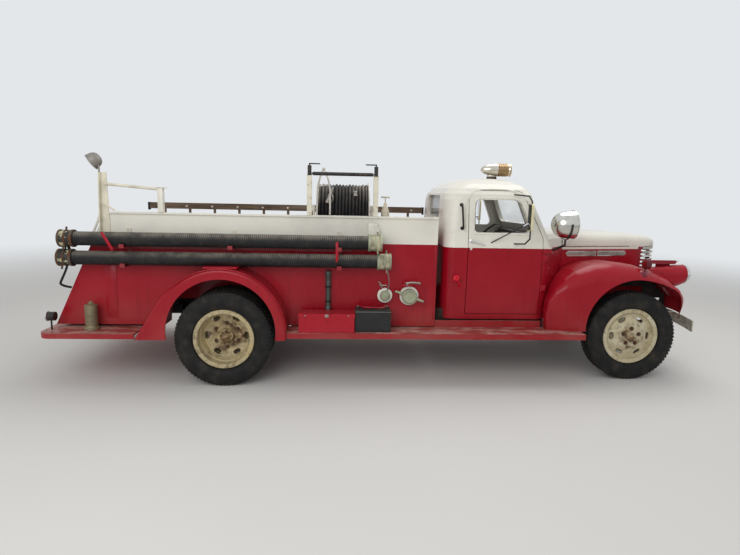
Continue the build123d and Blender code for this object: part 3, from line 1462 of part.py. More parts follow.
# Pump fittings: a capped outlet and the suction inlet on both sides, and the reel's valve
VALVE_X = -46.0
VALVE_Y = -720.0
VALVE_Z = 1668.0
with BuildPart() as pump_fittings:
    for x, z, radius, reach in ((-38, 853, 50, 70), (202, 851, 70, 100)):
        rod((x, -BODY_HALF - SEAT_GAP, z), (x, -BODY_HALF - 24, z), radius + 22)
        rod((x, -BODY_HALF - 24, z), (x, -BODY_HALF - reach, z), radius)
    for turn in (69, 249):
        lug = Plane(origin=(202, -BODY_HALF - 70, 851), z_dir=(cos(radians(turn)), 0, sin(radians(turn))))
        with Locations(lug.location):
            Cylinder(12, 150, align=(Align.CENTER, Align.CENTER, Align.MIN))
    mirror(about=Plane.XZ)
    with BuildSketch(turning_section(Plane(origin=(VALVE_X, VALVE_Y, 0), z_dir=(0, 0, 1)))):
        with BuildLine():
            Polyline(
                (0, BED_FLOOR_Z + SEAT_GAP),
                (46, BED_FLOOR_Z + SEAT_GAP),
                (46, BED_FLOOR_Z + 14),
                (24, BED_FLOOR_Z + 14),
                (24, VALVE_Z - 56),
                (40, VALVE_Z - 50),
                (42, VALVE_Z),
                (30, VALVE_Z + 30),
                (30, VALVE_Z + 44),
                (20, VALVE_Z + 46),
                (14, VALVE_Z + 84),
                (6, VALVE_Z + 86),
                (6, VALVE_Z + 140),
                (0, VALVE_Z + 140),
                close=True,
            )
        make_face()
    revolve(axis=Axis((VALVE_X, VALVE_Y, 0), (0, 0, 1)))
    rod((VALVE_X - 42, VALVE_Y, VALVE_Z + 140), (VALVE_X + 42, VALVE_Y, VALVE_Z + 140), 8)
pump_fittings.part.label = "pump_fittings"
export_step(pump_fittings.part, "parts/pump_fittings.step")

# Branch pipe clipped upright to the body's right side
with BuildPart() as play_pipe:
    nozzle = Plane(origin=(-595, -BODY_HALF - 31, 690), z_dir=(0, 0, 1))
    with BuildSketch(turning_section(nozzle)):
        with BuildLine():
            Polyline(
                (0, 0),
                (30, 0),
                (30, 50),
                (22, 60),
                (24, 130),
                (24, 240),
                (16, 250),
                (10, 396),
                (14, 400),
                (0, 400),
                close=True,
            )
        make_face()
    revolve(axis=Axis(nozzle.origin, nozzle.z_dir))
    for low in (770, 900):
        span(-605, -585, -BODY_HALF - 31, -BODY_HALF - SEAT_GAP, low, low + 24)
play_pipe.part.label = "play_pipe"
export_step(play_pipe.part, "parts/play_pipe.step")

# Toolbox on the running board, open above, and its lid hinged along its inner edge
BOX_REAR_X = -866.0
BOX_FRONT_X = -338.0
BOX_IN_Y = -879.0
BOX_OUT_Y = -1047.0
BOX_TOP = 704.0
BOX_WALL = 5.0
with BuildPart() as toolbox:
    span(BOX_REAR_X, BOX_FRONT_X, BOX_OUT_Y, BOX_IN_Y, BOARD_TOP + SEAT_GAP, BOX_TOP)
    span(
        BOX_REAR_X + BOX_WALL,
        BOX_FRONT_X - BOX_WALL,
        BOX_OUT_Y + BOX_WALL,
        BOX_IN_Y - BOX_WALL,
        BOARD_TOP + BOX_WALL,
        BOX_TOP + BOX_WALL,
        Mode.SUBTRACT,
    )
toolbox.part.label = "toolbox"
export_step(toolbox.part, "parts/toolbox.step")

LID_T = 5.0
LID_BARREL_R = 5.0
with BuildPart() as toolbox_lid:
    barrel_y = BOX_IN_Y + SEAT_GAP + LID_BARREL_R
    span(BOX_REAR_X - 4, BOX_FRONT_X + 4, BOX_OUT_Y - 6, barrel_y, BOX_TOP + 1, BOX_TOP + 1 + LID_T)
    span(BOX_REAR_X - 4, BOX_FRONT_X + 4, BOX_OUT_Y - 6, BOX_OUT_Y - 6 + 4, BOX_TOP - 30, BOX_TOP + 1)
    for barrel_x in (BOX_REAR_X + 60, BOX_FRONT_X - 130):
        rod((barrel_x, barrel_y, BOX_TOP + 1), (barrel_x + 70, barrel_y, BOX_TOP + 1), LID_BARREL_R)
toolbox_lid.part.label = "toolbox_lid"
export_step(toolbox_lid.part, "parts/toolbox_lid.step")

# Battery and extinguisher, standing on the board and on the rear step
with BuildPart() as battery:
    span(-330, 11, -1010, -836, BOARD_TOP + SEAT_GAP, 728)
    span(-322, 3, -1002, -844, 728, 741)
battery.part.label = "battery"
export_step(battery.part, "parts/battery.step")

with BuildPart() as extinguisher:
    bottle = Plane(origin=(-2834, -900, STEP_TOP + SEAT_GAP), z_dir=(0, 0, 1))
    with BuildSketch(turning_section(bottle)):
        with BuildLine():
            Polyline(
                (0, 0),
                (62, 0),
                (66, 6),
                (66, 196),
                (44, 226),
                (20, 236),
                (20, 262),
                (34, 266),
                (34, 276),
                (0, 276),
                close=True,
            )
        make_face()
    revolve(axis=Axis(bottle.origin, bottle.z_dir))
extinguisher.part.label = "extinguisher"
export_step(extinguisher.part, "parts/extinguisher.step")

# Rear post with its handrail, on the right side's wall and rail
HANDRAIL_Y = -BODY_HALF - 6.0
RAIL_POST_X = -2176.0
with BuildPart() as rear_post:
    plate_y = -BODY_HALF - SEAT_GAP
    extrude(
        side_face([(POST_REAR_X, 1431), (POST_FRONT_X - 1, 1431), (-2660, 1985), (-2720, 1985)], plate_y),
        amount=8,
    )
    extrude(side_face([(POST_REAR_X, 1431), (-2727, 1431), (-2712, 1985), (-2720, 1985)], plate_y), amount=50)
    rod((-2680, HANDRAIL_Y, 1879), (RAIL_POST_X, HANDRAIL_Y, 1840), 14)
    rod((RAIL_POST_X, HANDRAIL_Y, 1846), (RAIL_POST_X, HANDRAIL_Y, BODY_TOP_RIGHT + SEAT_GAP), 11)
    rod((-2700, -BODY_HALF - 16, 1700), (-2600, -BODY_HALF - 10, 1636), 9)
rear_post.part.label = "rear_post"
export_step(rear_post.part, "parts/rear_post.step")

# Ladder on edge along the left side, on brackets from the body
LADDER_Y = 855.0
LADDER_REAR_X = -2870.0
LADDER_FRONT_X = 580.0
LADDER_LOW = 1215.0
LADDER_HIGH = 1597.0
BEAM_W = 40.0
BEAM_H = 75.0
RUNG_PITCH = 305.0
with BuildPart() as ladder:
    for low in (LADDER_LOW, LADDER_HIGH):
        span(LADDER_REAR_X, LADDER_FRONT_X, LADDER_Y - BEAM_W / 2, LADDER_Y + BEAM_W / 2, low, low + BEAM_H)
    rungs = int((LADDER_FRONT_X - LADDER_REAR_X) / RUNG_PITCH)
    for rung in range(rungs):
        x = LADDER_REAR_X + RUNG_PITCH * (rung + 0.66)
        rod((x, LADDER_Y, LADDER_LOW + 30), (x, LADDER_Y, LADDER_HIGH + 30), 16)
ladder.part.label = "ladder"
export_step(ladder.part, "parts/ladder.step")

# Suction hoses with a coupling at each end, lying on racks
COUPLING_L = 130.0
with BuildPart() as suction_hoses:
    for rear_x, front_x, z in SUCTION_HOSES:
        rod((rear_x, SUCTION_Y, z), (front_x, SUCTION_Y, z), SUCTION_R)
        rod((rear_x, SUCTION_Y, z), (rear_x + COUPLING_L, SUCTION_Y, z), SUCTION_COUPLING_R)
        rod((front_x - COUPLING_L, SUCTION_Y, z), (front_x, SUCTION_Y, z), SUCTION_COUPLING_R)
suction_hoses.part.label = "suction_hoses"
export_step(suction_hoses.part, "parts/suction_hoses.step")

# Racks: arms under the suction hoses on the right, and under the ladder on the left
LADDER_BRACKETS_X = (-2400.0, -1100.0, 300.0)
with BuildPart() as side_racks:
    for x in RACK_X:
        for number, (rear_x, front_x, z) in enumerate(SUCTION_HOSES):
            low = z - SUCTION_R - SEAT_GAP
            over_fender = abs(x - ARCH_X) < 300 and number == 1
            if not over_fender:
                span(x - 22, x + 22, SUCTION_Y - SUCTION_R - 12, -BODY_HALF - SEAT_GAP, low - 12, low)
                span(
                    x - 22,
                    x + 22,
                    SUCTION_Y - SUCTION_R - 12,
                    SUCTION_Y - SUCTION_R - 2,
                    low - 12,
                    low + 24,
                )
        plate_low = 1290 if abs(x - ARCH_X) < 300 else 1121
        span(x - 22, x + 22, -BODY_HALF - 10, -BODY_HALF - SEAT_GAP, plate_low, 1470)
    span(RACK_X[0] - 120, RACK_X[-1] + 120, -BODY_HALF - 22, -BODY_HALF - SEAT_GAP, 1278, 1300)
    for x in LADDER_BRACKETS_X:
        span(x - 25, x + 25, BODY_HALF + SEAT_GAP, BODY_HALF + 10, LADDER_LOW - 60, LADDER_LOW + 120)
        span(x - 25, x + 25, BODY_HALF + SEAT_GAP, LADDER_Y + 34, LADDER_LOW - 14, LADDER_LOW - SEAT_GAP)
        span(x - 25, x + 25, LADDER_Y + 24, LADDER_Y + 34, LADDER_LOW - 14, LADDER_LOW + 40)
side_racks.part.label = "side_racks"
export_step(side_racks.part, "parts/side_racks.step")

# Hose reel: drum, two flanges and the axle turned as one; the wound hose goes round it
DRUM_REAR = REEL_REAR_X + REEL_FLANGE_T
DRUM_FRONT = REEL_FRONT_X - REEL_FLANGE_T
reel_axis = Axis((0, REEL_Y, REEL_Z), (1, 0, 0))
with BuildPart() as reel:
    rod((REEL_REAR_X, REEL_Y, REEL_Z), (DRUM_REAR, REEL_Y, REEL_Z), REEL_FLANGE_R)
    rod((DRUM_FRONT, REEL_Y, REEL_Z), (REEL_FRONT_X, REEL_Y, REEL_Z), REEL_FLANGE_R)
    rod((DRUM_REAR, REEL_Y, REEL_Z), (DRUM_FRONT, REEL_Y, REEL_Z), REEL_DRUM_R)
    rod(
        (REEL_REAR_X - REEL_AXLE_END, REEL_Y, REEL_Z),
        (REEL_FRONT_X + REEL_AXLE_END, REEL_Y, REEL_Z),
        REEL_AXLE_R,
    )
reel.part.label = "reel"
export_step(reel.part, "parts/reel.step")

turn_w = (DRUM_FRONT - DRUM_REAR - 2 * SEAT_GAP) / REEL_TURNS
with BuildPart() as reel_hose:
    with BuildSketch(Plane.XZ.offset(-REEL_Y)):
        with BuildLine():
            start_x = DRUM_REAR + SEAT_GAP
            valley = REEL_Z + REEL_HOSE_R - turn_w * 0.3
            for turn in range(REEL_TURNS):
                x = start_x + turn * turn_w
                ThreePointArc((x, valley), (x + turn_w / 2, REEL_Z + REEL_HOSE_R), (x + turn_w, valley))
            end_x = start_x + REEL_TURNS * turn_w
            low = REEL_Z + REEL_DRUM_R + SEAT_GAP
            Polyline((end_x, valley), (end_x, low), (start_x, low), (start_x, valley))
        make_face()
    revolve(axis=reel_axis)
reel_hose.part.label = "reel_hose"
export_step(reel_hose.part, "parts/reel_hose.step")

# Reel stand: a pedestal at each end of the axle on the bed's floor
STAND_GAP = 31.0
STAND_T = 15.0
with BuildPart() as reel_stand:
    for x in (REEL_REAR_X - STAND_GAP - STAND_T, REEL_FRONT_X + STAND_GAP):
        with BuildSketch(Plane.YZ.offset(x)):
            with BuildLine():
                Polyline(
                    (REEL_Y - 220, BED_FLOOR_Z + SEAT_GAP),
                    (REEL_Y + 220, BED_FLOOR_Z + SEAT_GAP),
                    (REEL_Y + 60, REEL_Z + 50),
                    (REEL_Y - 60, REEL_Z + 50),
                    close=True,
                )
            make_face()
            with Locations((REEL_Y, REEL_Z)):
                Circle(REEL_AXLE_R + RUN_FIT, mode=Mode.SUBTRACT)
        extrude(amount=STAND_T)
reel_stand.part.label = "reel_stand"
export_step(reel_stand.part, "parts/reel_stand.step")

# Hose guide: two posts, each topped by a short roller and a hook, and a level roller between
GUIDE_SLEEVE_TOP = 2094.0
GUIDE_ROLLER_Z = 2018.0
HOOK_TOP = 2110.0
HOOK_L = 100.0
with BuildPart() as hose_guide:
    guide_y = -BODY_HALF + BODY_WALL - GUIDE_POST / 2
    for x, inward in ((GUIDE_REAR_X, 1), (GUIDE_FRONT_X, -1)):
        span(
            x - GUIDE_POST / 2,
            x + GUIDE_POST / 2,
            guide_y - GUIDE_POST / 2,
            guide_y + GUIDE_POST / 2,
            BODY_TOP_RIGHT + SEAT_GAP,
            GUIDE_POST_TOP,
        )
        rod((x, guide_y, GUIDE_POST_TOP), (x, guide_y, GUIDE_SLEEVE_TOP), 19)
        rod((x, guide_y, GUIDE_SLEEVE_TOP), (x, guide_y, HOOK_TOP), 6)
        rod((x - inward * 6, guide_y, HOOK_TOP), (x + inward * HOOK_L, guide_y, HOOK_TOP), 6)
    inner = GUIDE_POST / 2
    rod((GUIDE_REAR_X + inner - 2, guide_y, GUIDE_ROLLER_Z), (GUIDE_FRONT_X - inner + 2, guide_y, GUIDE_ROLLER_Z), 9)
    rod((GUIDE_REAR_X + inner + 8, guide_y, GUIDE_ROLLER_Z), (GUIDE_FRONT_X - inner - 8, guide_y, GUIDE_ROLLER_Z), 17)
hose_guide.part.label = "hose_guide"
export_step(hose_guide.part, "parts/hose_guide.step")
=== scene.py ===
# %% [markdown]
# # An old fire engine
# The engine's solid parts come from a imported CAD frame, and this script gives them their paint, rubber, chrome
# and rust. It then adds what is too small or too soft for the CAD: treads, nuts, beads, straps and cushions.
# The frame is loaded first, because every new piece is placed by a corner of a CAD part.

from math import cos, pi, radians, sin, sqrt, tau

import bmesh
import bpy
from mathutils import Euler, Matrix, Vector
from mathutils.bvhtree import BVHTree


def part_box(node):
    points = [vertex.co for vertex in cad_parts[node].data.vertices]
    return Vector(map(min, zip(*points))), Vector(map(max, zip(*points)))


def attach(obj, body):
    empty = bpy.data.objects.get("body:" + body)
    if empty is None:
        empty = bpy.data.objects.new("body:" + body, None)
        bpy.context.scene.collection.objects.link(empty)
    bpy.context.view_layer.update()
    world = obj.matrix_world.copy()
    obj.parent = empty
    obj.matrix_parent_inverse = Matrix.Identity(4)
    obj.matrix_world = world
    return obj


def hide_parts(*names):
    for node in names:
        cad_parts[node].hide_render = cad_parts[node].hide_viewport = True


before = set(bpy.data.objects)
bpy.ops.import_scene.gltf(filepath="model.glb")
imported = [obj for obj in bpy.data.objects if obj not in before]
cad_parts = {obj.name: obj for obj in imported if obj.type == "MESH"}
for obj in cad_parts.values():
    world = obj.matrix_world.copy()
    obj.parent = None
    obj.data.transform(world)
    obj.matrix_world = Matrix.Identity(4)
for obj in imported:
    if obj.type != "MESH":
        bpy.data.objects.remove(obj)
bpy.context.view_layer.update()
scene = bpy.context.scene
scene.view_settings.view_transform = "Standard"

# %% [markdown]
# The photograph was taken beside the body, a little above the belt line, with a wide lens. The camera stands
# at the same place, in metres, and looks slightly forward and down, with the small roll of a hand-held shot.

# %% Camera
CAMERA_YAW, CAMERA_PITCH, CAMERA_ROLL = 3.39, 9.26, 1.24
camera = bpy.data.objects.new("camera", bpy.data.cameras.new("camera"))
scene.collection.objects.link(camera)
camera.data.lens = 25.716
camera.data.sensor_width = 36.0
aim = Euler((radians(90 - CAMERA_PITCH), 0, radians(-CAMERA_YAW))).to_matrix()
aim = aim @ Matrix.Rotation(radians(CAMERA_ROLL), 3, "Z")
camera.matrix_world = Matrix.Translation((-0.4896, -5.9369, 1.8624)) @ aim.to_4x4()
scene.camera = camera
print("camera at", [round(v, 3) for v in camera.matrix_world.translation])

# %% [markdown]
# A finish is a tree of shader nodes, and trees are slow to read when each node takes three lines. Here one
# small class stands for a wire between nodes, so that masks are added, multiplied and compared like numbers.
# A second class holds one tree and makes any node with a single call. A third adds the masks that most finishes
# of an old vehicle need: clouds, edges and ridges.

# %% A wire between nodes


# the wave texture scale that puts bands one metre apart
BANDS_PER_METRE = 0.314159


class Wire:
    """An output socket in a finish. Arithmetic on it adds Math nodes."""

    def __init__(self, finish, socket):
        self.finish, self.socket = finish, socket

    def over(self, low, high):
        """0 below low and 1 above high, with a smooth step between. It falls if high is the lower one."""
        settings = {"interpolation_type": "SMOOTHSTEP"}
        return self.finish.node("ShaderNodeMapRange", settings, {"Value": self, "From Min": low, "From Max": high})


def maths(operation, swapped=False):
    """A method for the Wire class that adds one Math node."""

    def method(self, *others):
        values = (*others, self) if swapped else (self, *others)
        return self.finish.node("ShaderNodeMath", {"operation": operation}, dict(enumerate(values)))

    return method


OPERATORS = {
    "add": "ADD", "radd": "ADD", "sub": "SUBTRACT", "mul": "MULTIPLY", "rmul": "MULTIPLY", "pow": "POWER", "or": "MAXIMUM",
    "abs": "ABSOLUTE", "gt": "GREATER_THAN", "lt": "LESS_THAN",
}  # fmt: skip
for word, operation in OPERATORS.items():
    setattr(Wire, f"__{word}__", maths(operation))
Wire.__rsub__ = maths("SUBTRACT", swapped=True)
print("a wire knows", len(OPERATORS) + 1, "operators")

# %% A tree, and a finish with its usual masks


def rgb(code):
    """A colour written as on a web page, as the linear red, green, blue and alpha that Blender wants."""
    parts = [int(code[i : i + 2], 16) / 255 for i in (0, 2, 4)]
    return (*[((c + 0.055) / 1.055) ** 2.4 if c > 0.04045 else c / 12.92 for c in parts], 1.0)


class Tree:
    """One node tree, built node by node."""

    def __init__(self, tree):
        self.tree = tree
        tree.nodes.clear()

    def node(self, kind, settings, inputs, output=0):
        made = self.tree.nodes.new(kind)
        for field, value in settings.items():
            setattr(made, field, value)
        for key, value in inputs.items():
            if isinstance(value, Wire):
                self.tree.links.new(value.socket, made.inputs[key])
            else:
                made.inputs[key].default_value = value
        return Wire(self, made.outputs[output]) if made.outputs else None

    def mix(self, factor, first, second):
        """A colour that goes from the first to the second as the factor goes from 0 to 1."""
        first, second = (rgb(c) if isinstance(c, str) else c for c in (first, second))
        return self.node("ShaderNodeMix", {"data_type": "RGBA"}, {0: factor, 6: first, 7: second}, 2)


class Finish(Tree):
    """One material."""

    def __init__(self, name):
        self.material = bpy.data.materials.new(name)
        self.material.use_nodes = True
        super().__init__(self.material.node_tree)
        self.place = self.node("ShaderNodeTexCoord", {}, {}, "Object")
        parts = self.node("ShaderNodeSeparateXYZ", {}, {0: self.place}).socket.node.outputs
        self.x, self.y, self.z = (Wire(self, socket) for socket in parts)
        self.facing = self.node("ShaderNodeNewGeometry", {}, {}, "Normal")
        self.up = self.node("ShaderNodeSeparateXYZ", {}, {0: self.facing}, 2)

    def noise(self, size, detail=3.0, stretch=(1, 1, 1), seed=0.0):
        """Cloudy noise from 0 to 1, its blotches about this many metres across."""
        where = {"Vector": self.place, "Location": (seed,) * 3, "Scale": tuple(1 / (size * s) for s in stretch)}
        inputs = {"Vector": self.node("ShaderNodeMapping", {}, where), "Scale": 1.0, "Detail": detail, "Roughness": 0.55}
        return self.node("ShaderNodeTexNoise", {}, inputs)

    def edges(self, radius):
        """1 where a face meets another at an angle within this distance, and 0 on the flat."""
        rounded = self.node("ShaderNodeBevel", {"samples": 4}, {"Radius": radius})
        return 1.0 - self.node("ShaderNodeVectorMath", {"operation": "DOT_PRODUCT"}, {0: rounded, 1: self.facing}, 1)

    def waves(self, along, pitch, wobble=0.0):
        """Ridges from 0 to 1 across one axis, this far apart."""
        settings = {"wave_type": "BANDS", "bands_direction": along, "wave_profile": "SIN"}
        inputs = {"Vector": self.place, "Scale": BANDS_PER_METRE / pitch, "Distortion": wobble, "Detail": 1.0}
        return self.node("ShaderNodeTexWave", settings, inputs)

    def bump(self, height, distance, normal=None):
        """The height as a relief this many metres deep."""
        under = {"Normal": normal} if normal else {}
        return self.node("ShaderNodeBump", {}, {"Height": height, "Distance": distance, "Strength": 1.0, **under})

    def shader(self, **sockets):
        """A Principled shader whose sockets are given with _ for a space."""
        long_names = {"Specular": "Specular IOR Level", "Transmission": "Transmission Weight"}
        inputs = {long_names.get(key, key.replace("_", " ")): value for key, value in sockets.items()}
        return self.node("ShaderNodeBsdfPrincipled", {}, inputs)

    def surface(self, shader=None, **sockets):
        """Closes the tree with a shader, or with a Principled one made from sockets."""
        self.node("ShaderNodeOutputMaterial", {}, {"Surface": shader or self.shader(**sockets)})
        return self.material


print("shader helpers ready")

# %% [markdown]
# The stage is a plain pale floor under a soft studio light. A wide lamp hangs above and another stands on the
# camera's side. The camera, mirrors and glass see a pale world, while the light that falls on the paint stays
# at a plain level. Far from the engine the floor glows as pale as the world, so no horizon shows.

# %% Floor, world and lamps
PALE = "e4e7ea"
WORLD_LEVEL = 0.55
GLOW_FROM, GLOW_TO = 6.0, 16.0
floor_mesh = bmesh.new()
bmesh.ops.create_grid(floor_mesh, x_segments=1, y_segments=1, size=40)
floor = bpy.data.objects.new("floor", bpy.data.meshes.new("floor"))
floor_mesh.to_mesh(floor.data)
floor_mesh.free()
scene.collection.objects.link(floor)
f = Finish("pale floor")
pale = f.shader(Base_Color=f.mix(f.noise(3.0), "d4d3d0", "dcdbd8"), Roughness=0.9, Specular=0.1)
glow = f.node("ShaderNodeEmission", {}, {"Color": rgb(PALE), "Strength": 1.0})
far = ((f.x**2 + f.y**2) ** 0.5).over(GLOW_FROM, GLOW_TO) * f.node("ShaderNodeLightPath", {}, {}, "Is Camera Ray")
floor.data.materials.append(f.surface(f.node("ShaderNodeMixShader", {}, {0: far, 1: pale, 2: glow})))

scene.world = bpy.data.worlds.new("studio")
scene.world.use_nodes = True
sky = Tree(scene.world.node_tree)
camera_ray, glossy_ray, through_ray = (
    sky.node("ShaderNodeLightPath", {}, {}, f"Is {kind} Ray") for kind in ("Camera", "Glossy", "Transmission")
)
seen = (camera_ray | glossy_ray) | through_ray
level = sky.node("ShaderNodeMix", {}, {0: seen, 2: WORLD_LEVEL, 3: 1.0})
backdrop = sky.node("ShaderNodeBackground", {}, {"Color": sky.mix(seen, "ffffff", PALE), "Strength": level})
sky.node("ShaderNodeOutputWorld", {}, {"Surface": backdrop})

LAMPS = (
    # name, place, width, power
    ("key", (2.5, 1.2, 6.8), 5.0, 190),
    ("near fill", (-3.0, -7.5, 4.5), 6.0, 240),
)
for name, place, width, power in LAMPS:
    lamp = bpy.data.lights.new(name, "AREA")
    lamp.shape, lamp.size, lamp.energy = "DISK", width, power
    holder = bpy.data.objects.new(name, lamp)
    holder.location = place
    holder.rotation_euler = (Vector(place) - Vector((0, 0, 1))).to_track_quat("Z", "Y").to_euler()
    scene.collection.objects.link(holder)
print("stage and", len(LAMPS), "lamps")

# %% [markdown]
# The engine's paint is deep red below and cream above, decades old. Real paint of this age is faded in clouds,
# streaked where rain ran down, chipped at its edges down to rust, and dusty on top. Each of these is a mask
# from 0 to 1, and the colour is mixed through the masks one after another.

# %% Old paint
RED, DEEP_RED, FADED_RED, BRIGHT_RED = "980a1e", "6d0616", "aa1529", "d0142c"
CREAM, WARM_CREAM, GREY_CREAM = "e6e3d8", "d9d0b6", "cdcbc2"
RUST, DARK_RUST = "7d4a2a", "4a2c1e"
BODY_SPLIT, BELT = 1.356, 1.335
FLOOR_LEVEL, TOP_LEVEL = -1.0, 9.0


def coachwork(name, split, chips, rust, dirt, worn_top=0.0, fresh=None):
    """Old paint, cream above the height of the split and red under it. Fresh paint is mostly of one red."""
    f = Finish(name)
    clouds, fine = f.noise(0.55, 4, seed=3), f.noise(0.05, 4, seed=5)
    runs = f.noise(0.5, 4, (0.05, 0.05, 1.1), seed=7)
    red = f.mix(clouds * 0.3, fresh, RED) if fresh else f.mix(clouds.over(0.35, 0.75) * 0.5, RED, FADED_RED)
    red = f.mix(runs.over(0.52, 0.8) * 0.5, red, DEEP_RED)
    cream = f.mix(clouds.over(0.4, 0.8), CREAM, GREY_CREAM)
    cream = f.mix(runs.over(0.55, 0.85) * 0.5, cream, WARM_CREAM)
    if split in (FLOOR_LEVEL, TOP_LEVEL):
        colour = cream if split == FLOOR_LEVEL else red
    else:
        colour = f.mix(f.z.over(split - 0.0015, split + 0.0015), red, cream)
    rim = f.edges(0.006)
    bare = (rim.over(0.02, 0.2) * fine.over(0.42, 0.62) + f.noise(0.018, 5, seed=11).over(0.7, 0.78) * 0.7) * chips
    stain = (f.noise(0.16, 6, (0.5, 0.5, 1.6), seed=17).over(0.62, 0.78) * rust) | bare
    colour = f.mix(stain.over(0.0, 0.9), colour, f.mix(fine, RUST, DARK_RUST))
    worn = f.up.over(0.75, 0.98) * f.noise(0.09, 6, (2.5, 1, 1), seed=19).over(0.38, 0.62) * worn_top
    colour = f.mix(worn, colour, f.mix(fine.over(0.4, 0.7), "cf9a92", "8c6a5c"))
    film = ((f.z.over(0.95, 0.45) * 0.45 + 0.06) * clouds.over(0.25, 0.8) + f.up.over(0.8, 1.0) * fine * 0.4) * dirt
    colour = f.mix(film, colour, "8a7767")
    peel = f.bump(f.noise(0.004, 2, seed=29), 0.0001, f.bump(f.noise(0.4, 1, seed=23), 0.006))
    rough = 0.22 + clouds * 0.12 + stain * 0.5 + film * 0.5 + worn * 0.3
    coat = (0.12 - stain) | 0.0
    return f.surface(Base_Color=colour, Roughness=rough, Specular=0.2, Coat_Weight=coat, Normal=f.bump(stain, 0.0006, peel))


PAINTS = (
    # name, height of the split, chips, rust, dirt, worn top, fresh colour
    ("cab paint", BELT, 0.5, 0.2, 0.25),
    ("body paint", BODY_SPLIT, 0.5, 0.25, 0.4),
    ("red paint", TOP_LEVEL, 0.5, 0.2, 0.35),
    ("cream paint", FLOOR_LEVEL, 0.6, 0.3, 0.3),
    ("rusty cream", FLOOR_LEVEL, 1.0, 0.9, 0.6),
    ("worn red", TOP_LEVEL, 1.0, 0.6, 0.6, 0.9),
    ("box red", TOP_LEVEL, 0.8, 0.1, 0.15, 0.0, FADED_RED),
    ("bright red", TOP_LEVEL, 0.5, 0.05, 0.05, 0.0, BRIGHT_RED),
)
FINISHES = {row[0]: coachwork(*row) for row in PAINTS}
print(len(FINISHES), "paints")

# %% [markdown]
# The bare parts are chrome, cast iron and oily steel. One function makes every bright metal, so that a second
# part can have the same metal with other numbers. Chrome is a fully metallic surface, and it only reads as old
# chrome once it has dull clouds and brown pits.

# %% Metals


def metal(name, colour, rough, rust, grime, metallic=1.0):
    """Bare or plated metal with pits of rust and a dull film."""
    f = Finish(name)
    clouds = f.noise(0.12, 4, seed=2)
    pits = f.noise(0.012, 6, seed=4).over(0.6, 0.7)
    patches = f.noise(0.07, 6, seed=6).over(0.72 - 0.35 * rust, 0.86 - 0.2 * rust)
    rusty = (patches | (pits * f.edges(0.006).over(0.0, 0.2))) * min(1.0, rust * 2)
    tone = f.mix(clouds.over(0.35, 0.8) * grime, colour, "6f665c")
    tone = f.mix(rusty, tone, f.mix(f.noise(0.02, 4, seed=8), RUST, DARK_RUST))
    shine = rough + clouds * grime * 0.35 + rusty * 0.5
    relief = f.bump(rusty + clouds * 0.3, 0.0005)
    return f.surface(Base_Color=tone, Roughness=shine, Metallic=metallic * (1.0 - rusty * 0.85), Normal=relief)


def iron(name, colour, brown, rough=0.6):
    """Black painted steel under the body, brown with dust and old grease."""
    f = Finish(name)
    clouds, scale = f.noise(0.12, 5, seed=31), f.noise(0.015, 5, seed=33)
    dust = f.up.over(0.3, 0.95) * scale.over(0.3, 0.6)
    tone = f.mix(dust * 0.6, f.mix(clouds.over(0.45, 0.75), colour, brown), "6f6254")
    relief = f.bump(clouds + scale * 0.5, 0.0012)
    return f.surface(Base_Color=tone, Roughness=rough + clouds * 0.3, Specular=0.3, Normal=relief)


METALS = (
    # name, colour, roughness, rust, grime, how metallic
    ("chrome", "dedede", 0.1, 0.12, 0.35),
    ("steel", "a9a59c", 0.35, 0.3, 0.6),
    ("cap metal", "a9ad93", 0.45, 0.12, 0.7, 0.6),
    ("old brass", "8f8468", 0.45, 0.2, 0.8, 0.7),
    ("pipe metal", "4c5450", 0.42, 0.1, 0.4, 0.6),
    ("exhaust rust", "6d4a34", 0.7, 1.0, 0.6, 0.4),
    ("nut rust", "5a4433", 0.6, 0.8, 0.8, 0.5),
)
IRONS = (
    # name, colour, brown, roughness
    ("underbody", "141313", "3b2d24"),
    ("black iron", "121212", "2b2723", 0.42),
    ("radiator core", "17130f", "2e241a"),
)
FINISHES |= {row[0]: metal(*row) for row in METALS} | {row[0]: iron(*row) for row in IRONS}
print(len(METALS) + len(IRONS), "metals")

# %% [markdown]
# The wheels were painted cream once. Rust has bled out of every hole and bolt, so its mask is strongest towards
# the hub and at the edges of the disc. The tyres are black rubber, browner on the tread. The suction hoses are
# rubber wound with canvas, and their rings are pale along the top, with dust and in part a painted highlight.

# %% Wheel paint and rubber
AXLES = {"front": (2.494, 0.455), "rear": (-1.57, 0.455)}
HOSE_ENDS = (
    # hose, front coupling from x, rear coupling to x
    ("lower", -0.130, -2.940),
    ("upper", -0.219, -2.920),
)
UPPER_HOSE_Z = 1.29


def wheel_paint(axle, rusty, cream):
    """Cream paint on the rim, rusty towards the hub."""
    f = Finish(axle + " wheel paint")
    x, z = AXLES[axle]
    reach = ((f.x - x) ** 2 + (f.z - z) ** 2) ** 0.5
    blotch, big = f.noise(0.05, 6, seed=41), f.noise(0.16, 3, seed=43)
    near_hub = reach.over(0.24, 0.1)
    rust = (blotch * 0.6 + big * 0.5 + near_hub * 0.12 + f.edges(0.005) * 0.9).over(0.78 - rusty, 0.98 - rusty * 0.6)
    tone = f.mix(big.over(0.3, 0.7), cream, "b9ad8c")
    tone = f.mix(rust, tone, f.mix(blotch.over(0.4, 0.65), "7c5a34", "4b3122"))
    tone = f.mix(f.noise(0.03, 5, seed=47).over(0.5, 0.75) * 0.5, tone, "4f4538")
    return f.surface(Base_Color=tone, Roughness=0.5 + rust * 0.35, Specular=0.35, Normal=f.bump(rust, 0.0006))


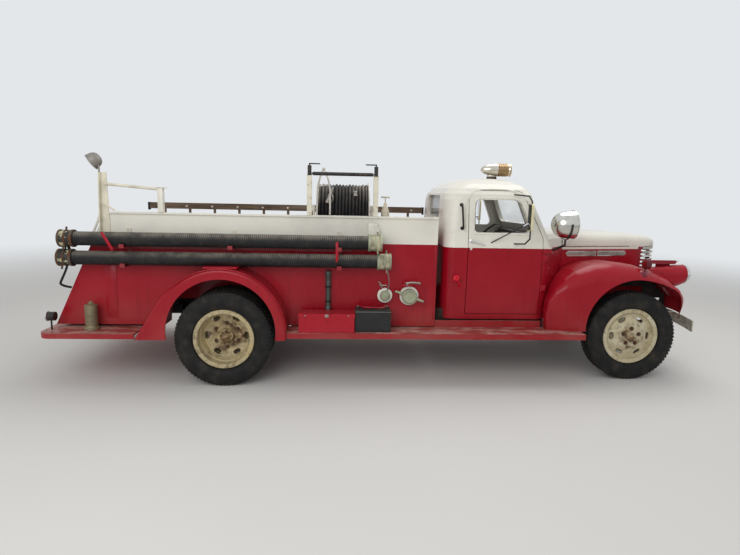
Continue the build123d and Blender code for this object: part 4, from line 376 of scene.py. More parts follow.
def tyre_rubber():
    f = Finish("tyre rubber")
    fine, cloud = f.noise(0.004, 4, seed=51), f.noise(0.09, 4, seed=53)
    tone = f.mix(cloud.over(0.3, 0.8), "131314", "24221f")
    tone = f.mix((cloud * 0.6 + fine * 0.5).over(0.55, 0.8) * 0.5, tone, "4d453a")
    return f.surface(Base_Color=tone, Roughness=0.62 + fine * 0.25, Specular=0.3, Normal=f.bump(fine, 0.0003))


def hose_rubber(name, top_dust_and_highlight, pitch, couplings=False):
    """A rubber hose wound with canvas, with cast couplings at its ends if asked."""
    f = Finish(name)
    rings = f.waves("X", pitch, 0.4)
    patch, fleck = f.noise(0.10, 6, (0.9, 1.0, 1.0), seed=61), f.noise(0.012, 5, seed=63)
    # the pale top is dust and in part a painted highlight, stronger on the rings
    dust = f.up.over(0.1, 0.95) * (0.35 + patch.over(0.3, 0.62) * 0.65) * top_dust_and_highlight
    tone = f.mix(patch.over(0.4, 0.7), "151517", "262423")
    tone = f.mix(dust * (0.25 + rings * 0.75), tone, "989084")
    tone = f.mix(fleck.over(0.62, 0.72) * 0.5, tone, "6b6258")
    shine = 0.62 + dust * 0.25
    if couplings:
        (_, low_front, low_rear), (_, high_front, high_rear) = HOSE_ENDS
        upper = f.z > UPPER_HOSE_Z
        front = f.x > low_front - upper * (low_front - high_front)
        rear = f.x < low_rear + upper * (high_rear - low_rear)
        tarnish = f.mix(f.noise(0.05, 6, seed=67).over(0.36, 0.48), "b9b291", "2b2925")
        tone = f.mix(front, tone, f.mix(patch.over(0.35, 0.65), "bdb798", "77745f"))
        tone = f.mix(rear, tone, tarnish)
        shine = shine - (front | rear) * 0.15
        rings = rings * (1.0 - (front | rear))
    relief = f.bump(rings, 0.0022, f.bump(fleck + patch, 0.0016))
    return f.surface(Base_Color=tone, Roughness=shine, Specular=0.35, Normal=relief)


FINISHES |= {
    "front wheel paint": wheel_paint("front", 0.16, "cfc6ab"),
    "rear wheel paint": wheel_paint("rear", 0.26, "b8a77c"),
    "tyre rubber": tyre_rubber(),
    "suction hose": hose_rubber("suction hose", 0.9, 0.018, couplings=True),
    "reel hose": hose_rubber("reel hose", 0.75, 0.5),
}
print("rubbers and wheel paints")

# %% [markdown]
# Glass is left plain but for a film of dust at its lower edge. The timber ladder has grain that runs along its
# rails, which is noise pulled out along X. Leathercloth is a fine pebble of Voronoi cells under a satin
# surface, and hard rubber and plastic have a finer grain with dust on top.

# %% Glass, timber, leathercloth and plastic


def window_glass():
    f = Finish("window glass")
    dust = f.noise(0.03, 5, seed=71).over(0.45, 0.9) * f.z.over(1.62, 1.46) * 0.25
    haze = {"Roughness": 0.02 + dust * 0.5, "Alpha": 0.35 + dust}
    return f.surface(Base_Color=rgb("eef4f0"), Transmission=1.0, IOR=1.12, **haze)


def timber(name, pale, dark):
    """Weathered timber with its grain along X."""
    f = Finish(name)
    grain, cloud = f.noise(0.02, 6, (14.0, 0.35, 0.35), seed=81), f.noise(0.3, 3, seed=83)
    tone = f.mix(cloud.over(0.45, 0.8) * 0.5, f.mix(grain.over(0.3, 0.7), pale, dark), "8f8578")
    return f.surface(Base_Color=tone, Roughness=0.75, Specular=0.2, Normal=f.bump(grain, 0.0012))


def leathercloth(name, colour, worn):
    f = Finish(name)
    pebble = f.node("ShaderNodeTexVoronoi", {"feature": "F1"}, {"Vector": f.place, "Scale": 420.0})
    cloud = f.noise(0.12, 4, seed=91)
    tone = f.mix(cloud.over(0.35, 0.8), colour, worn)
    return f.surface(Base_Color=tone, Roughness=0.42 + cloud * 0.25, Specular=0.4, Normal=f.bump(pebble, 0.0006))


def moulded(name, colour, dusty, rough):
    f = Finish(name)
    grain, cloud = f.noise(0.003, 3, seed=93), f.noise(0.06, 5, seed=95)
    dust = (f.up.over(0.2, 1.0) * 0.6 + 0.2) * cloud.over(0.4, 0.7)
    tone = f.mix(dust, colour, dusty)
    return f.surface(Base_Color=tone, Roughness=rough + dust * 0.3, Specular=0.4, Normal=f.bump(grain, 0.0002))


MOULDED = (
    # name, colour, colour of its dust, roughness
    ("black plastic", "17171a", "4f4a44", 0.4),
    ("grey lining", "5f5f58", "7d7a70", 0.7),
    ("battery case", "1a1b1d", "3e3b38", 0.35),
)
FINISHES |= {row[0]: moulded(*row) for row in MOULDED} | {
    "window glass": window_glass(),
    "ladder timber": timber("ladder timber", "7c6a58", "4b3d33"),
    "leathercloth": leathercloth("leathercloth", "2a211c", "3d3029"),
}
print(len(FINISHES), "finishes so far")

# %% [markdown]
# Some CAD nodes are one solid but two or three materials: a lamp is a painted can with a glass face. Such a
# node takes one finish that looks at where each point lies, in boxes measured on the engine, and picks the
# colour, roughness and metal of that place. The old film of dust and rust then goes over everything.

# %% Finishes that change from place to place
PAINT_RED, PAINT_CREAM, BLACK_PAINT = ("8c0f22", 0.3, 0.0), ("e2dcc8", 0.4, 0.0), ("141414", 0.4, 0.0)
PLATE, LENS, RED_LENS = ("d8d6d0", 0.14, 1.0), ("c9d2d6", 0.06, 0.6), ("7d0c14", 0.08, 0.3)
OPEN = (None, None, None)
POD_AXIS = Vector((2.756, 0.64, 1.075))


def inside(f, low, high):
    """1 in a box given by its corners in metres, the same on both sides of the engine. None leaves a side open."""
    mask = None
    for value, least, most in zip((f.x, abs(f.y), f.z), low, high):
        for term in ([] if least is None else [value > least]) + ([] if most is None else [value < most]):
            mask = term if mask is None else mask * term
    return mask


def from_line(f, y, z):
    """Distance from a line along X, the same on both sides of the engine."""
    return ((abs(f.y) - y) ** 2 + (f.z - z) ** 2) ** 0.5


def zoned(f, base, zones, rust, grime):
    """Closes a finish with a base and zones, each a mask or a pair of corners with its colour, roughness and metal."""
    colour, rough, metallic = f.mix(0.0, base[0], base[0]), base[1], base[2]
    for where, (tone, shine, plate) in zones:
        mask = where if isinstance(where, Wire) else inside(f, *where)
        colour = f.mix(mask, colour, tone)
        rough = mask * shine + (1.0 - mask) * rough
        metallic = mask * plate + (1.0 - mask) * metallic
    clouds, blotch = f.noise(0.1, 5, seed=101), f.noise(0.04, 6, seed=103)
    stain = blotch.over(0.74 - 0.3 * rust, 0.86 - 0.2 * rust) | (f.edges(0.005).over(0.03, 0.2) * blotch * rust)
    colour = f.mix(clouds.over(0.35, 0.8) * grime, colour, "6a6055")
    colour = f.mix(stain * min(1.0, rust * 2.2), colour, f.mix(f.noise(0.015, 4, seed=107), "8a5a34", DARK_RUST))
    return f.surface(
        Base_Color=colour, Roughness=rough + clouds * grime * 0.3 + stain * rust, Metallic=metallic * (1.0 - stain * 0.8),
        Specular=0.4, Normal=f.bump(stain + clouds * 0.3, 0.0005),
    )  # fmt: skip


f = Finish("lamp paint and glass")
spot, rear = inside(f, (1.55, 0.65, 1.40), (1.90, 1.0, 1.75)), inside(f, (-2.90, 0.70, 2.02), (-2.69, 0.90, 2.20))
reach = from_line(f, 0.820, 1.580)
rear_face = -0.78446 * (f.x + 2.786) - 0.19612 * (f.y + 0.800) - 0.58835 * (f.z - 2.080)
LAMP_ZONES = (
    (((1.55, 0.60, None), (1.90, 1.0, 1.75)), BLACK_PAINT),
    (spot * (reach < 0.1435), PLATE),
    (spot * (f.x > 1.811) * (reach < 0.134), LENS),
    (((-2.90, 0.70, 1.98), (-2.69, 0.90, 2.20)), ("8d8a82", 0.45, 0.3)),
    (rear * (rear_face > 0.0125), LENS),
    # turn signal feet: red paint darkened to a purple red, painted shade
    (((2.50, 0.70, 1.06), (2.70, 0.92, 1.14)), ("6d1028", 0.3, 0.0)),
    (((2.6445, 0.70, 1.13), (2.70, 0.90, 1.26)), RED_LENS),
    (((2.50, 0.70, 1.13), (2.5915, 0.90, 1.26)), RED_LENS),
    (((-3.30, 0.85, None), (-3.13, 1.0, 0.70)), BLACK_PAINT),
    (((-3.30, 0.85, 0.59), (-3.212, 1.0, 0.70)), RED_LENS),
)
lamp_finish = zoned(f, ("5c0d1c", 0.28, 0.0), LAMP_ZONES, 0.12, 0.25)

f = Finish("headlight glass and bezel")
glass = f.mix(f.waves("Y", 0.012).over(0.2, 0.8), "eef2f2", "aeb6ba")
lens = inside(f, (3.05, 0.50, 0.95), (3.30, 0.78, 1.18)) * (from_line(f, POD_AXIS.y, POD_AXIS.z) < 0.0823)
HEADLIGHT_ZONES = (
    (((3.05, 0.50, 0.90), (3.30, 0.80, 1.18)), PLATE),
    (lens, (glass, 0.08, 0.35)),
    (((3.02, 0.55, 1.19), (3.10, 0.72, 1.23)), ("efe9dc", 0.12, 0.2)),
)
headlight_finish = zoned(f, ("8c1226", 0.28, 0.0), HEADLIGHT_ZONES, 0.08, 0.15)

ZONES = (
    # node, name of the finish, base, zones, rust, grime
    ("hose_guide", "guide paint", PAINT_CREAM, (
        (((None, None, 2.003), (None, None, 2.032)), BLACK_PAINT), (((None, None, 2.0), OPEN), BLACK_PAINT)), 0.55, 0.35),
    ("pump_fittings", "pump metal", ("d0c9b4", 0.5, 0.1), (
        (((None, 0.8235, 0.70), (None, None, 1.0)), ("8e9680", 0.5, 0.5)),
        (((None, None, 1.795), (None, 0.80, None)), ("d9d3c2", 0.45, 0.0))), 0.25, 0.45),
    ("grille", "grille paint", PAINT_RED, ((((2.86, None, 1.185), (None, None, 1.330)), PLATE),), 0.1, 0.2),
    ("front_bumper", "bumper rust", ("8d3a2c", 0.6, 0.0), ((((3.05, None, None), OPEN), ("c9c2b4", 0.3, 0.9)),), 0.75, 0.5),
    ("siren", "siren plate", ("d9d3c6", 0.13, 1.0), (
        (((1.255, None, 2.05), (1.375, None, None)), ("a58a66", 0.3, 0.9)),
        (((1.39, None, 2.05), OPEN), ("c9a97e", 0.3, 0.8)), ((OPEN, (None, None, 2.053)), ("4b4036", 0.5, 0.4))), 0.4, 0.3),
    ("rear_post", "post paint", PAINT_CREAM, (), 0.3, 0.3),
    ("mirror", "mirror", BLACK_PAINT, (
        (((1.320, 0.90, 1.52), (1.345, 1.0, 1.776)), ("e6dcae", 0.45, 0.0)),
        (((None, 0.905, 1.525), (1.3225, 0.995, 1.771)), ("c8d0d4", 0.04, 1.0))), 0.1, 0.2),
    ("side_racks", "rack paint", PAINT_RED, ((((None, None, 1.43), OPEN), PAINT_CREAM),), 0.2, 0.35),
    ("dashboard", "dash paint", ("4a4640", 0.45, 0.0), (), 0.1, 0.3),
    ("engine", "engine paint", ("2f3a34", 0.6, 0.1), (((OPEN, (None, None, 0.62)), ("1a1815", 0.6, 0.0)),), 0.3, 0.7),
)  # fmt: skip
FINISHES |= {node: zoned(Finish(name), base, zones, rust, grime) for node, name, base, zones, rust, grime in ZONES}
FINISHES |= {"lamps": lamp_finish, "headlights": headlight_finish}
print(len(ZONES) + 2, "zoned finishes")

# %% [markdown]
# A CAD node takes its finish through its object's material slots. The table says which finish goes on which
# nodes, and a node whose finish has its own name isn't in it.

# %% Dress the CAD nodes
NODES_WITH = {
    "cab paint": "cab_cowl door_right door_left cab_back",
    "body paint": "body_side_right body_side_left",
    "red paint": "hood_sides front_fenders rear_fenders hose_bed water_tank",
    "cream paint": "cab_roof hood",
    "rusty cream": "reel reel_stand",
    "worn red": "running_boards rear_step",
    "box red": "toolbox toolbox_lid",
    "old brass": "extinguisher",
    "pipe metal": "play_pipe",
    "exhaust rust": "exhaust",
    "underbody": "front_axle rear_axle leaf_springs frame_rails steering_knuckle_right steering_knuckle_left tie_rod",
    "radiator core": "radiator",
    "front wheel paint": "front_wheel_right front_wheel_left",
    "rear wheel paint": "rear_wheels_right rear_wheels_left",
    "tyre rubber": "front_tyre_right front_tyre_left rear_tyres_right rear_tyres_left",
    "suction hose": "suction_hoses",
    "reel hose": "reel_hose",
    "window glass": "cab_glass",
    "ladder timber": "ladder",
    "leathercloth": "seat_cushions",
    "black plastic": "steering_wheel",
    "grey lining": "cab_floor",
    "battery case": "battery",
    "mirror": "mirror_right mirror_left",
} | {node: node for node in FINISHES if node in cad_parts}
for finish, nodes in NODES_WITH.items():
    for node in nodes.split():
        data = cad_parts[node].data
        if not data.materials:
            data.materials.append(None)
        for index in range(len(data.materials)):
            data.materials[index] = FINISHES[finish]
print("dressed", sum(len(nodes.split()) for nodes in NODES_WITH.values()), "of", len(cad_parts), "nodes")

# %% [markdown]
# The small parts are too many to draw by hand, so a few helpers shape them from bmesh's own operators: a bar
# between two points, a rounded block, a turned shape spun from half its outline, and a bent rod that follows a
# curve. Each adds to an open bmesh, and one last call makes that bmesh a finished piece.

# %% Bars, blocks and turned shapes


def vec(x, y, z):
    return Vector((x, y, z))


def near(place, *steps):
    """Points at these steps from a place."""
    return [place + Vector(step) for step in steps]


def bar(shape, start, end, radius, sides=16, end_radius=None):
    """A round bar from one point to another."""
    start, end = Vector(start), Vector(end)
    turn = (end - start).to_track_quat("Z", "Y").to_matrix().to_4x4()
    far = radius if end_radius is None else end_radius
    bmesh.ops.create_cone(shape, cap_ends=True, segments=sides, radius1=radius, radius2=far, depth=(end - start).length,
                          matrix=Matrix.Translation((start + end) / 2) @ turn)  # fmt: skip


def bevel(shape, edges, offset, segments):
    bmesh.ops.bevel(shape, geom=edges, offset=offset, affect="EDGES", segments=segments, profile=0.5, material=-1)


def edges_of(verts):
    return list({edge for vert in verts for edge in vert.link_edges})


def block(shape, low, high, round_off=0.0, turn=None):
    """A box between two corners, its edges rounded off, and turned about its middle if asked."""
    low, high = Vector(low), Vector(high)
    place = Matrix.Translation((low + high) / 2) @ (turn.to_matrix().to_4x4() if turn else Matrix())
    made = bmesh.ops.create_cube(shape, size=1, matrix=place @ Matrix.Diagonal((*(high - low), 1)))
    if round_off:
        bevel(shape, edges_of(made["verts"]), round_off, 2)


def ball(shape, place, radius):
    at = Matrix.Translation(place) @ Matrix.Diagonal((radius, radius, radius, 1))
    bmesh.ops.create_uvsphere(shape, u_segments=20, v_segments=12, radius=1, matrix=at)


def turned(shape, outline, place, axis, steps=48, closed=False):
    """Spins an outline of (radius, distance along the axis) about the axis through a place."""
    place, axis = Vector(place), Vector(axis).normalized()
    side = axis.orthogonal().normalized()
    points = [shape.verts.new(place + side * radius + axis * out) for radius, out in outline]
    pairs = list(zip(points, points[1:])) + ([(points[-1], points[0])] if closed else [])
    geom = points + [shape.edges.new(pair) for pair in pairs]
    bmesh.ops.spin(shape, geom=geom, cent=place, axis=axis, angle=tau, steps=steps, use_merge=True, use_duplicate=False)


def round_about(shape, since, count, place, axis):
    """Repeats what was added since a vertex count, this many times in all, round an axis."""
    shape.verts.ensure_lookup_table()
    verts = shape.verts[since:]
    geom = verts + edges_of(verts) + list({face for vert in verts for face in vert.link_faces})
    arc = tau * (count - 1) / count
    bmesh.ops.spin(shape, geom=geom, cent=place, axis=axis, angle=arc, steps=count - 1, use_duplicate=True)


def rod(shape, points, radius, sides=10):
    """A bent rod through some points, swept along a curve and then joined to the shape."""
    curve = bpy.data.curves.new("bent rod", "CURVE")
    curve.dimensions = "3D"
    curve.bevel_depth, curve.bevel_resolution = radius, max(1, sides // 4)
    curve.resolution_u = 8
    curve.use_fill_caps = True
    spline = curve.splines.new("NURBS")
    spline.points.add(len(points) - 1)
    for point, place in zip(spline.points, points):
        point.co = (*place, 1)
    spline.order_u = 3
    spline.use_endpoint_u = True
    holder = bpy.data.objects.new("bent rod", curve)
    swept = bpy.data.meshes.new_from_object(holder)
    shape.from_mesh(swept)
    bpy.data.objects.remove(holder)
    bpy.data.curves.remove(curve)
    bpy.data.meshes.remove(swept)


print("basic shapes ready")

# %% Copies, mirrored shapes and finished pieces


def copy_of(node):
    """A CAD node's mesh as an open bmesh, its loose triangles merged."""
    shape = bmesh.new()
    shape.from_mesh(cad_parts[node].data)
    bmesh.ops.remove_doubles(shape, verts=shape.verts, dist=0.00005)
    return shape


def twice(shape):
    """Adds the same on the other side of the engine."""
    bmesh.ops.mirror(shape, geom=shape.verts[:] + shape.edges[:] + shape.faces[:], matrix=Matrix(), merge_dist=-1, axis="Y")
    return shape


def piece(name, shape, finish, body="chassis", smooth=35):
    """Closes a shape, points its faces outward, and lets it ride on a body as a new piece."""
    bmesh.ops.remove_doubles(shape, verts=shape.verts, dist=0.00002)
    bmesh.ops.recalc_face_normals(shape, faces=shape.faces)
    data = bpy.data.meshes.new(name)
    shape.to_mesh(data)
    shape.free()
    made = bpy.data.objects.new(name, data)
    scene.collection.objects.link(made)
    data.materials.append(FINISHES[finish])
    data.shade_smooth()
    if smooth:
        data.set_sharp_from_angle(angle=radians(smooth))
    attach(made, body)
    return made


print("pieces can be made")

# %% [markdown]
# The tyres are the roundest and blackest things in the picture, and the eye goes to their tread. The CAD tyre
# is a smooth ring for the physics. The piece that stands for it has the same outline with raised rings on its
# wall, and tread blocks that are made once and carried round the axle by a spin.

# %% Tyres
TYRE_RADIUS, SEAT_RADIUS, FLANGE_RADIUS, BEAD = 0.455, 0.2563, 0.289, 0.0637
TREAD_BLOCKS, BLOCK_DEPTH, BLOCK_SUNK = 76, 0.014, 0.0073
# radius and half width down one wall, from the tread's groove to the bead
WALL = (
    (0.45, 0.058), (0.449, 0.078), (0.441, 0.0875), (0.432, 0.0905), (0.431, 0.0925), (0.424, 0.0945),
    (0.423, 0.0932), (0.408, 0.0978), (0.388, 0.1008), (0.37, 0.1022), (0.369, 0.1012), (0.352, 0.1012),
    (0.351, 0.1022), (0.335, 0.0995), (0.318, 0.0935), (0.306, 0.087), (0.305, 0.089), (0.298, 0.0885),
    (0.297, 0.0795), (FLANGE_RADIUS, BEAD), (SEAT_RADIUS, BEAD),
)  # fmt: skip
TREAD = (
    # across, width, length round the tyre, skew in degrees, shift as a share of the pitch
    (0.07, 0.03, 0.0245, 0.0, 0.0),
    (0.035, 0.023, 0.0235, 24.0, 0.35),
    (0.0, 0.02, 0.0235, -24.0, 0.0),
)
TYRES = (
    # node, body, axle, places along the axle
    ("front_tyre_right", "wheel_front_right", "front", (-0.778,)),
    ("front_tyre_left", "wheel_front_left", "front", (0.778,)),
    ("rear_tyres_right", "wheels_rear_right", "rear", (-0.9725, -0.7325)),
    ("rear_tyres_left", "wheels_rear_left", "rear", (0.9725, 0.7325)),
)
centre, axle_way = vec(0, 0, 0), (0, 1, 0)
one_tyre = bmesh.new()
turned(one_tyre, [*reversed(WALL)] + [(r, -u) for r, u in WALL], centre, axle_way, steps=96, closed=True)
for across, width, long, skew, shift in TREAD:
    for side in (-1, 1) if across else (1,):
        since = len(one_tyre.verts)
        along = Matrix.Rotation(tau / TREAD_BLOCKS * shift * side, 4, "Y")
        skewed = Matrix.Rotation(radians(skew * side), 4, "Z")
        place = along @ Matrix.Translation((0, across * side, TYRE_RADIUS - BLOCK_SUNK)) @ skewed
        made = bmesh.ops.create_cube(one_tyre, size=1, matrix=place @ Matrix.Diagonal((long, width, BLOCK_DEPTH, 1)))
        upper = [edge for edge in edges_of(made["verts"]) if min(vert.co.z for vert in edge.verts) > 0.4]
        bevel(one_tyre, upper, 0.002, 1)
        round_about(one_tyre, since, TREAD_BLOCKS, centre, axle_way)
pattern = bpy.data.meshes.new("tyre pattern")
one_tyre.to_mesh(pattern)
one_tyre.free()
for node, body, axle, places in TYRES:
    shape = bmesh.new()
    for across in places:
        since = len(shape.verts)
        shape.from_mesh(pattern)
        shape.verts.ensure_lookup_table()
        bmesh.ops.translate(shape, verts=shape.verts[since:], vec=(AXLES[axle][0], across, AXLES[axle][1]))
    made = piece(node + "_tread", shape, "tyre rubber", body, smooth=30)
    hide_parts(node)
    print(made.name, len(made.data.polygons), "faces")
bpy.data.meshes.remove(pattern)

# %% [markdown]
# Each wheel has its hub, nuts and valve. The front hub is a plain cup with five nuts round it. The rear hub is
# the flange of a driven axle, so it has a ring of eight studs as well. One nut is made, then repeated.

# %% Wheel nuts, hub caps and valves


def nut(shape, place, out, size=0.016, height=0.016):
    """A hexagon nut on its washer with the stud's end showing."""
    bar(shape, place, place + out * 0.004, size * 1.35, 20)
    bar(shape, place + out * 0.003, place + out * height, size, 6)
    bar(shape, place + out * height, place + out * (height + 0.007), size * 0.5, 12)


# radius and distance out along the axle
HUBS = {
    "front": ((0, 0.132), (0.012, 0.131), (0.014, 0.127), (0.03, 0.124), (0.037, 0.118), (0.038, 0.104), (0.044, 0.1)),
    "rear": ((0, 0.098), (0.02, 0.097), (0.026, 0.092), (0.03, 0.08), (0.052, 0.078), (0.058, 0.074), (0.058, 0.07)),
}
WHEELS = (
    # body, slot, axle, hub's face along the axle, nut ring radius, where the nuts stand, nuts, valve's foot
    ("wheel_front_{}", "front_wheel_{}", "front", 0.778, 0.083, 0.08, 5, 0.05),
    ("wheels_rear_{}", "rear_wheels_{}", "rear", 0.8525, 0.118, 0.025, 6, 0.13),
)
SIDES = ((-1, "right"), (1, "left"))
valve_turn = Matrix.Rotation(radians(-28), 3, "Y")
# out along the axle and down the wheel from the valve's foot
VALVE = ((0, 0), (0.02, 0), (0.03, -0.012), (0.034, -0.045))
for body_name, slot_name, axle, half, ring, face, count, foot_out in WHEELS:
    for side, word in SIDES:
        body, slot = body_name.format(word), slot_name.format(word)
        out, hub = vec(0, side, 0), vec(AXLES[axle][0], half * side, AXLES[axle][1])
        shape = bmesh.new()
        nut(shape, hub + vec(0, 0, ring) + out * face, out)
        round_about(shape, 0, count, hub, (0, 1, 0))
        piece(body + "_nuts", shape, "nut rust", body)
        shape = bmesh.new()
        turned(shape, HUBS[axle], hub, out, 40)
        if axle == "front":
            bar(shape, hub + out * 0.13, hub + out * 0.14, 0.008, 6)
        else:
            since = len(shape.verts)
            nut(shape, hub + vec(0, 0, 0.045) + out * 0.077, out, 0.009, 0.012)
            round_about(shape, since, 8, hub, (0, 1, 0))
        piece(body + "_cap", shape, axle + " wheel paint", body)
        shape = bmesh.new()
        foot = hub + valve_turn @ vec(0, 0, 0.243) + out * foot_out
        rod(shape, [foot + out * reach + valve_turn @ vec(0, 0, drop) for reach, drop in VALVE], 0.0045)
        piece(body + "_valve", shape, "steel", body)
print("wheel hardware on", len(WHEELS) * 2, "wheels")

# %% [markdown]
# The trim follows the cab's curved sides, so it can't be placed by numbers alone. A ray shot at the CAD nodes
# gives the point of the paint behind each bend of a gutter or bead. A raised band is made from the panel
# itself instead: its mesh is copied, cut by planes, and given a thickness.

# %% Finding the surface
depsgraph = bpy.context.evaluated_depsgraph_get()
CAB_NODES = ("cab_cowl", "cab_back", "cab_roof", "door_right", "door_left")
surfaces = {}


def surface_at(nodes, start, toward):
    """The first point of these CAD nodes along a ray, with the way the surface faces there, or None."""
    hits = []
    for node in nodes:
        if node not in surfaces:
            surfaces[node] = BVHTree.FromObject(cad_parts[node], depsgraph)
        hits.append(surfaces[node].ray_cast(Vector(start), Vector(toward).normalized()))
    hits = [hit for hit in hits if hit[0] is not None]
    return min(hits, key=lambda hit: hit[3])[:2] if hits else None


def on_side(nodes, x, z, side, proud=0.0):
    """The point of these nodes' outer side at this x and z, moved out by a distance. It steps over a gap."""
    for step in (0.0, 0.008, -0.008, 0.016, -0.016):
        hit = surface_at(nodes, (x, side * 2.0, z + step), (0, -side, 0))
        if hit and hit[0].y * side > 0.05:
            return vec(x, hit[0].y + side * proud, z)
    raise ValueError(f"no side of {nodes} at {x}, {z}")


def band(name, node, finish, side, cuts, proud, beyond, body="chassis"):
    """A raised strip from one side of a CAD panel's copy, kept between cutting planes and thickened outwards."""
    shape = copy_of(node)
    for place, normal in (*cuts, ((0, 0, 0), (0, -side, 0))):
        geom = shape.verts[:] + shape.edges[:] + shape.faces[:]
        bmesh.ops.bisect_plane(shape, geom=geom, plane_co=place, plane_no=normal, clear_outer=True)
    inner = [f for f in shape.faces if f.normal.y * side <= 0.35 or f.calc_center_median().y * side <= beyond]
    bmesh.ops.delete(shape, geom=inner, context="FACES")
    shape.normal_update()
    bmesh.ops.solidify(shape, geom=shape.faces[:], thickness=-proud)
    return piece(name, shape, finish, body)


def between(low, high):
    """Two cutting planes that keep what lies between two heights."""
    return ((0, 0, low), (0, 0, -1)), ((0, 0, high), (0, 0, 1))


print("rays ready")

# %% [markdown]
# A cream bead runs round the cab at the belt, where the two colours meet. Over each door a drip rail is screwed
# to the roof, and each window has a raised lip with a black rubber inside. The rail and the lip are bent rods
# whose points lie on the paint.

# %% Belt bead, drip rails and window rubbers
# x and z of each bend, from the door's rear edge forward
GUTTER = ((0.757, 1.49), (0.762, 1.66), (0.768, 1.765), (0.8, 1.845), (0.862, 1.892), (0.95, 1.9075), (1.08, 1.911),
          (1.2, 1.906), (1.3, 1.88), (1.375, 1.815), (1.432, 1.722), (1.47, 1.628), (1.502, 1.54))  # fmt: skip
WINDOW_LIP = ((0.842, 1.5), (0.843, 1.62), (0.847, 1.74), (0.858, 1.795), (0.898, 1.817), (1.0, 1.82), (1.15, 1.82),
              (1.265, 1.819), (1.315, 1.8), (1.345, 1.745), (1.395, 1.62), (1.441, 1.505), (1.438, 1.474),
              (1.405, 1.466), (1.2, 1.466), (0.98, 1.466), (0.868, 1.466), (0.845, 1.474))  # fmt: skip
for side, word in SIDES:
    door = f"door_{word}"
    for part, node, body in (("door", door, door), ("cowl", "cab_cowl", "chassis"), ("back", "cab_back", "chassis")):
        band(f"belt_bead_{part}_{word}", node, "cream paint", side, between(BELT - 0.006, BELT + 0.007), 0.004, 0.6, body)
    shape = bmesh.new()
    rod(shape, [on_side(CAB_NODES, x, z, side, 0.005) for x, z in GUTTER], 0.0075)
    piece(f"drip_rail_{word}", shape, "cream paint")
    shape = bmesh.new()
    points = [on_side((door,), x, z, side, 0.001) for x, z in WINDOW_LIP]
    rod(shape, points + points[:2], 0.007)
    piece(f"window_lip_{word}", shape, "cream paint", door)
    middle = sum(points, Vector()) / len(points)
    shape = bmesh.new()
    inner = [point + (middle - point).normalized() * 0.01 - vec(0, side * 0.006, 0) for point in points]
    rod(shape, inner + inner[:2], 0.0055)
    piece(f"window_rubber_{word}", shape, "black plastic", door)
print("belt, drip rails and window lips")

# %% [markdown]
# Each door has a lever handle on a round plate, two outside hinges and, behind it, an upright grab handle. On
# the cab's right rear corner sits the red cap of the fuel filler. All are bars and turned plates, set square to
# the surface where they stand.

# %% Door handles, hinges and grab handles
# radius and distance out from the surface
LEVER_PLATE = ((0, 0.008), (0.016, 0.007), (0.022, 0.003), (0.023, -0.002), (0, -0.002))
GRAB_PLATE = ((0, 0.006), (0.017, 0.005), (0.02, 0.001), (0.02, -0.002), (0, -0.002))
for side, word in SIDES:
    door, out = f"door_{word}", vec(0, side, 0)
    shape = bmesh.new()
    root = on_side((door,), 0.822, 1.395, side)
    grip = root + out * 0.03
    turned(shape, LEVER_PLATE, root, out, 24)
    bar(shape, root, grip, 0.008)
    lever = near(grip, (-0.012, 0, 0.004), (0, 0, 0), (0.06, side * 0.004, -0.012), (0.118, side * 0.001, -0.03))
    rod(shape, lever, 0.0085)
    ball(shape, lever[-1], 0.0095)
    piece(f"door_handle_{word}", shape, "chrome", door)
    shape = bmesh.new()
    for height in (0.93, 1.235):
        barrel, leaf = on_side(CAB_NODES, 1.5535, height, side, 0.004), on_side(CAB_NODES, 1.59, height, side)
        bar(shape, *near(barrel, (0, 0, -0.034), (0, 0, 0.034)), 0.009)
        ball(shape, barrel + vec(0, 0, 0.036), 0.0075)
        low, high = min(barrel.y, leaf.y) - 0.002, max(barrel.y, leaf.y) + 0.002
        block(shape, (1.556, low, height - 0.028), (1.6, high, height + 0.028), 0.0015)
    piece(f"door_hinges_{word}", shape, "red paint")
    shape = bmesh.new()
    low, high = on_side(CAB_NODES, 0.724, 1.52, side), on_side(CAB_NODES, 0.716, 1.748, side)
    near_out, far_out, up = out * 0.04, out * 0.048, vec(0, 0, 0.02)
    rod(shape, (low, low + near_out, low + far_out + up, high + far_out - up, high + near_out, high), 0.0095)
    for foot in (low, high):
        turned(shape, GRAB_PLATE, foot, out, 20)
    piece(f"grab_handle_{word}", shape, "black iron")
print("handles and hinges on", len(SIDES), "doors")

# %% Fuel cap
FILLER_CAP = ((0, 0.062), (0.02, 0.061), (0.03, 0.056), (0.034, 0.046), (0.034, 0.03), (0.026, 0.027), (0.024, -0.012),
              (0, -0.012))  # fmt: skip
shape = bmesh.new()
point, normal = surface_at(("cab_back",), (0.672, -2.0, 1.015), (0, 1, 0))
filler = (normal + vec(0.0, 0.0, 0.35)).normalized()
turned(shape, FILLER_CAP, point, filler, 32)
bar(shape, *near(point + filler * 0.058, (-0.02, 0, 0), (0.02, 0, 0)), 0.007)
tongue = near(point, filler * 0.03, (0.03, -0.03, -0.03), (0.048, -0.012, -0.062), (0.045, 0.004, -0.085))
rod(shape, tongue, 0.009)
piece("fuel_cap", shape, "bright red")
print("fuel cap at", [round(v, 3) for v in point])

# %% [markdown]
# The hood has a raised crease along each side, and under it the side panel carries a long bright strip in two
# pointed parts and a cream band. The crease is a bent rod. The strip and the band are made from the panel's own
# mesh, so that they follow its curve.

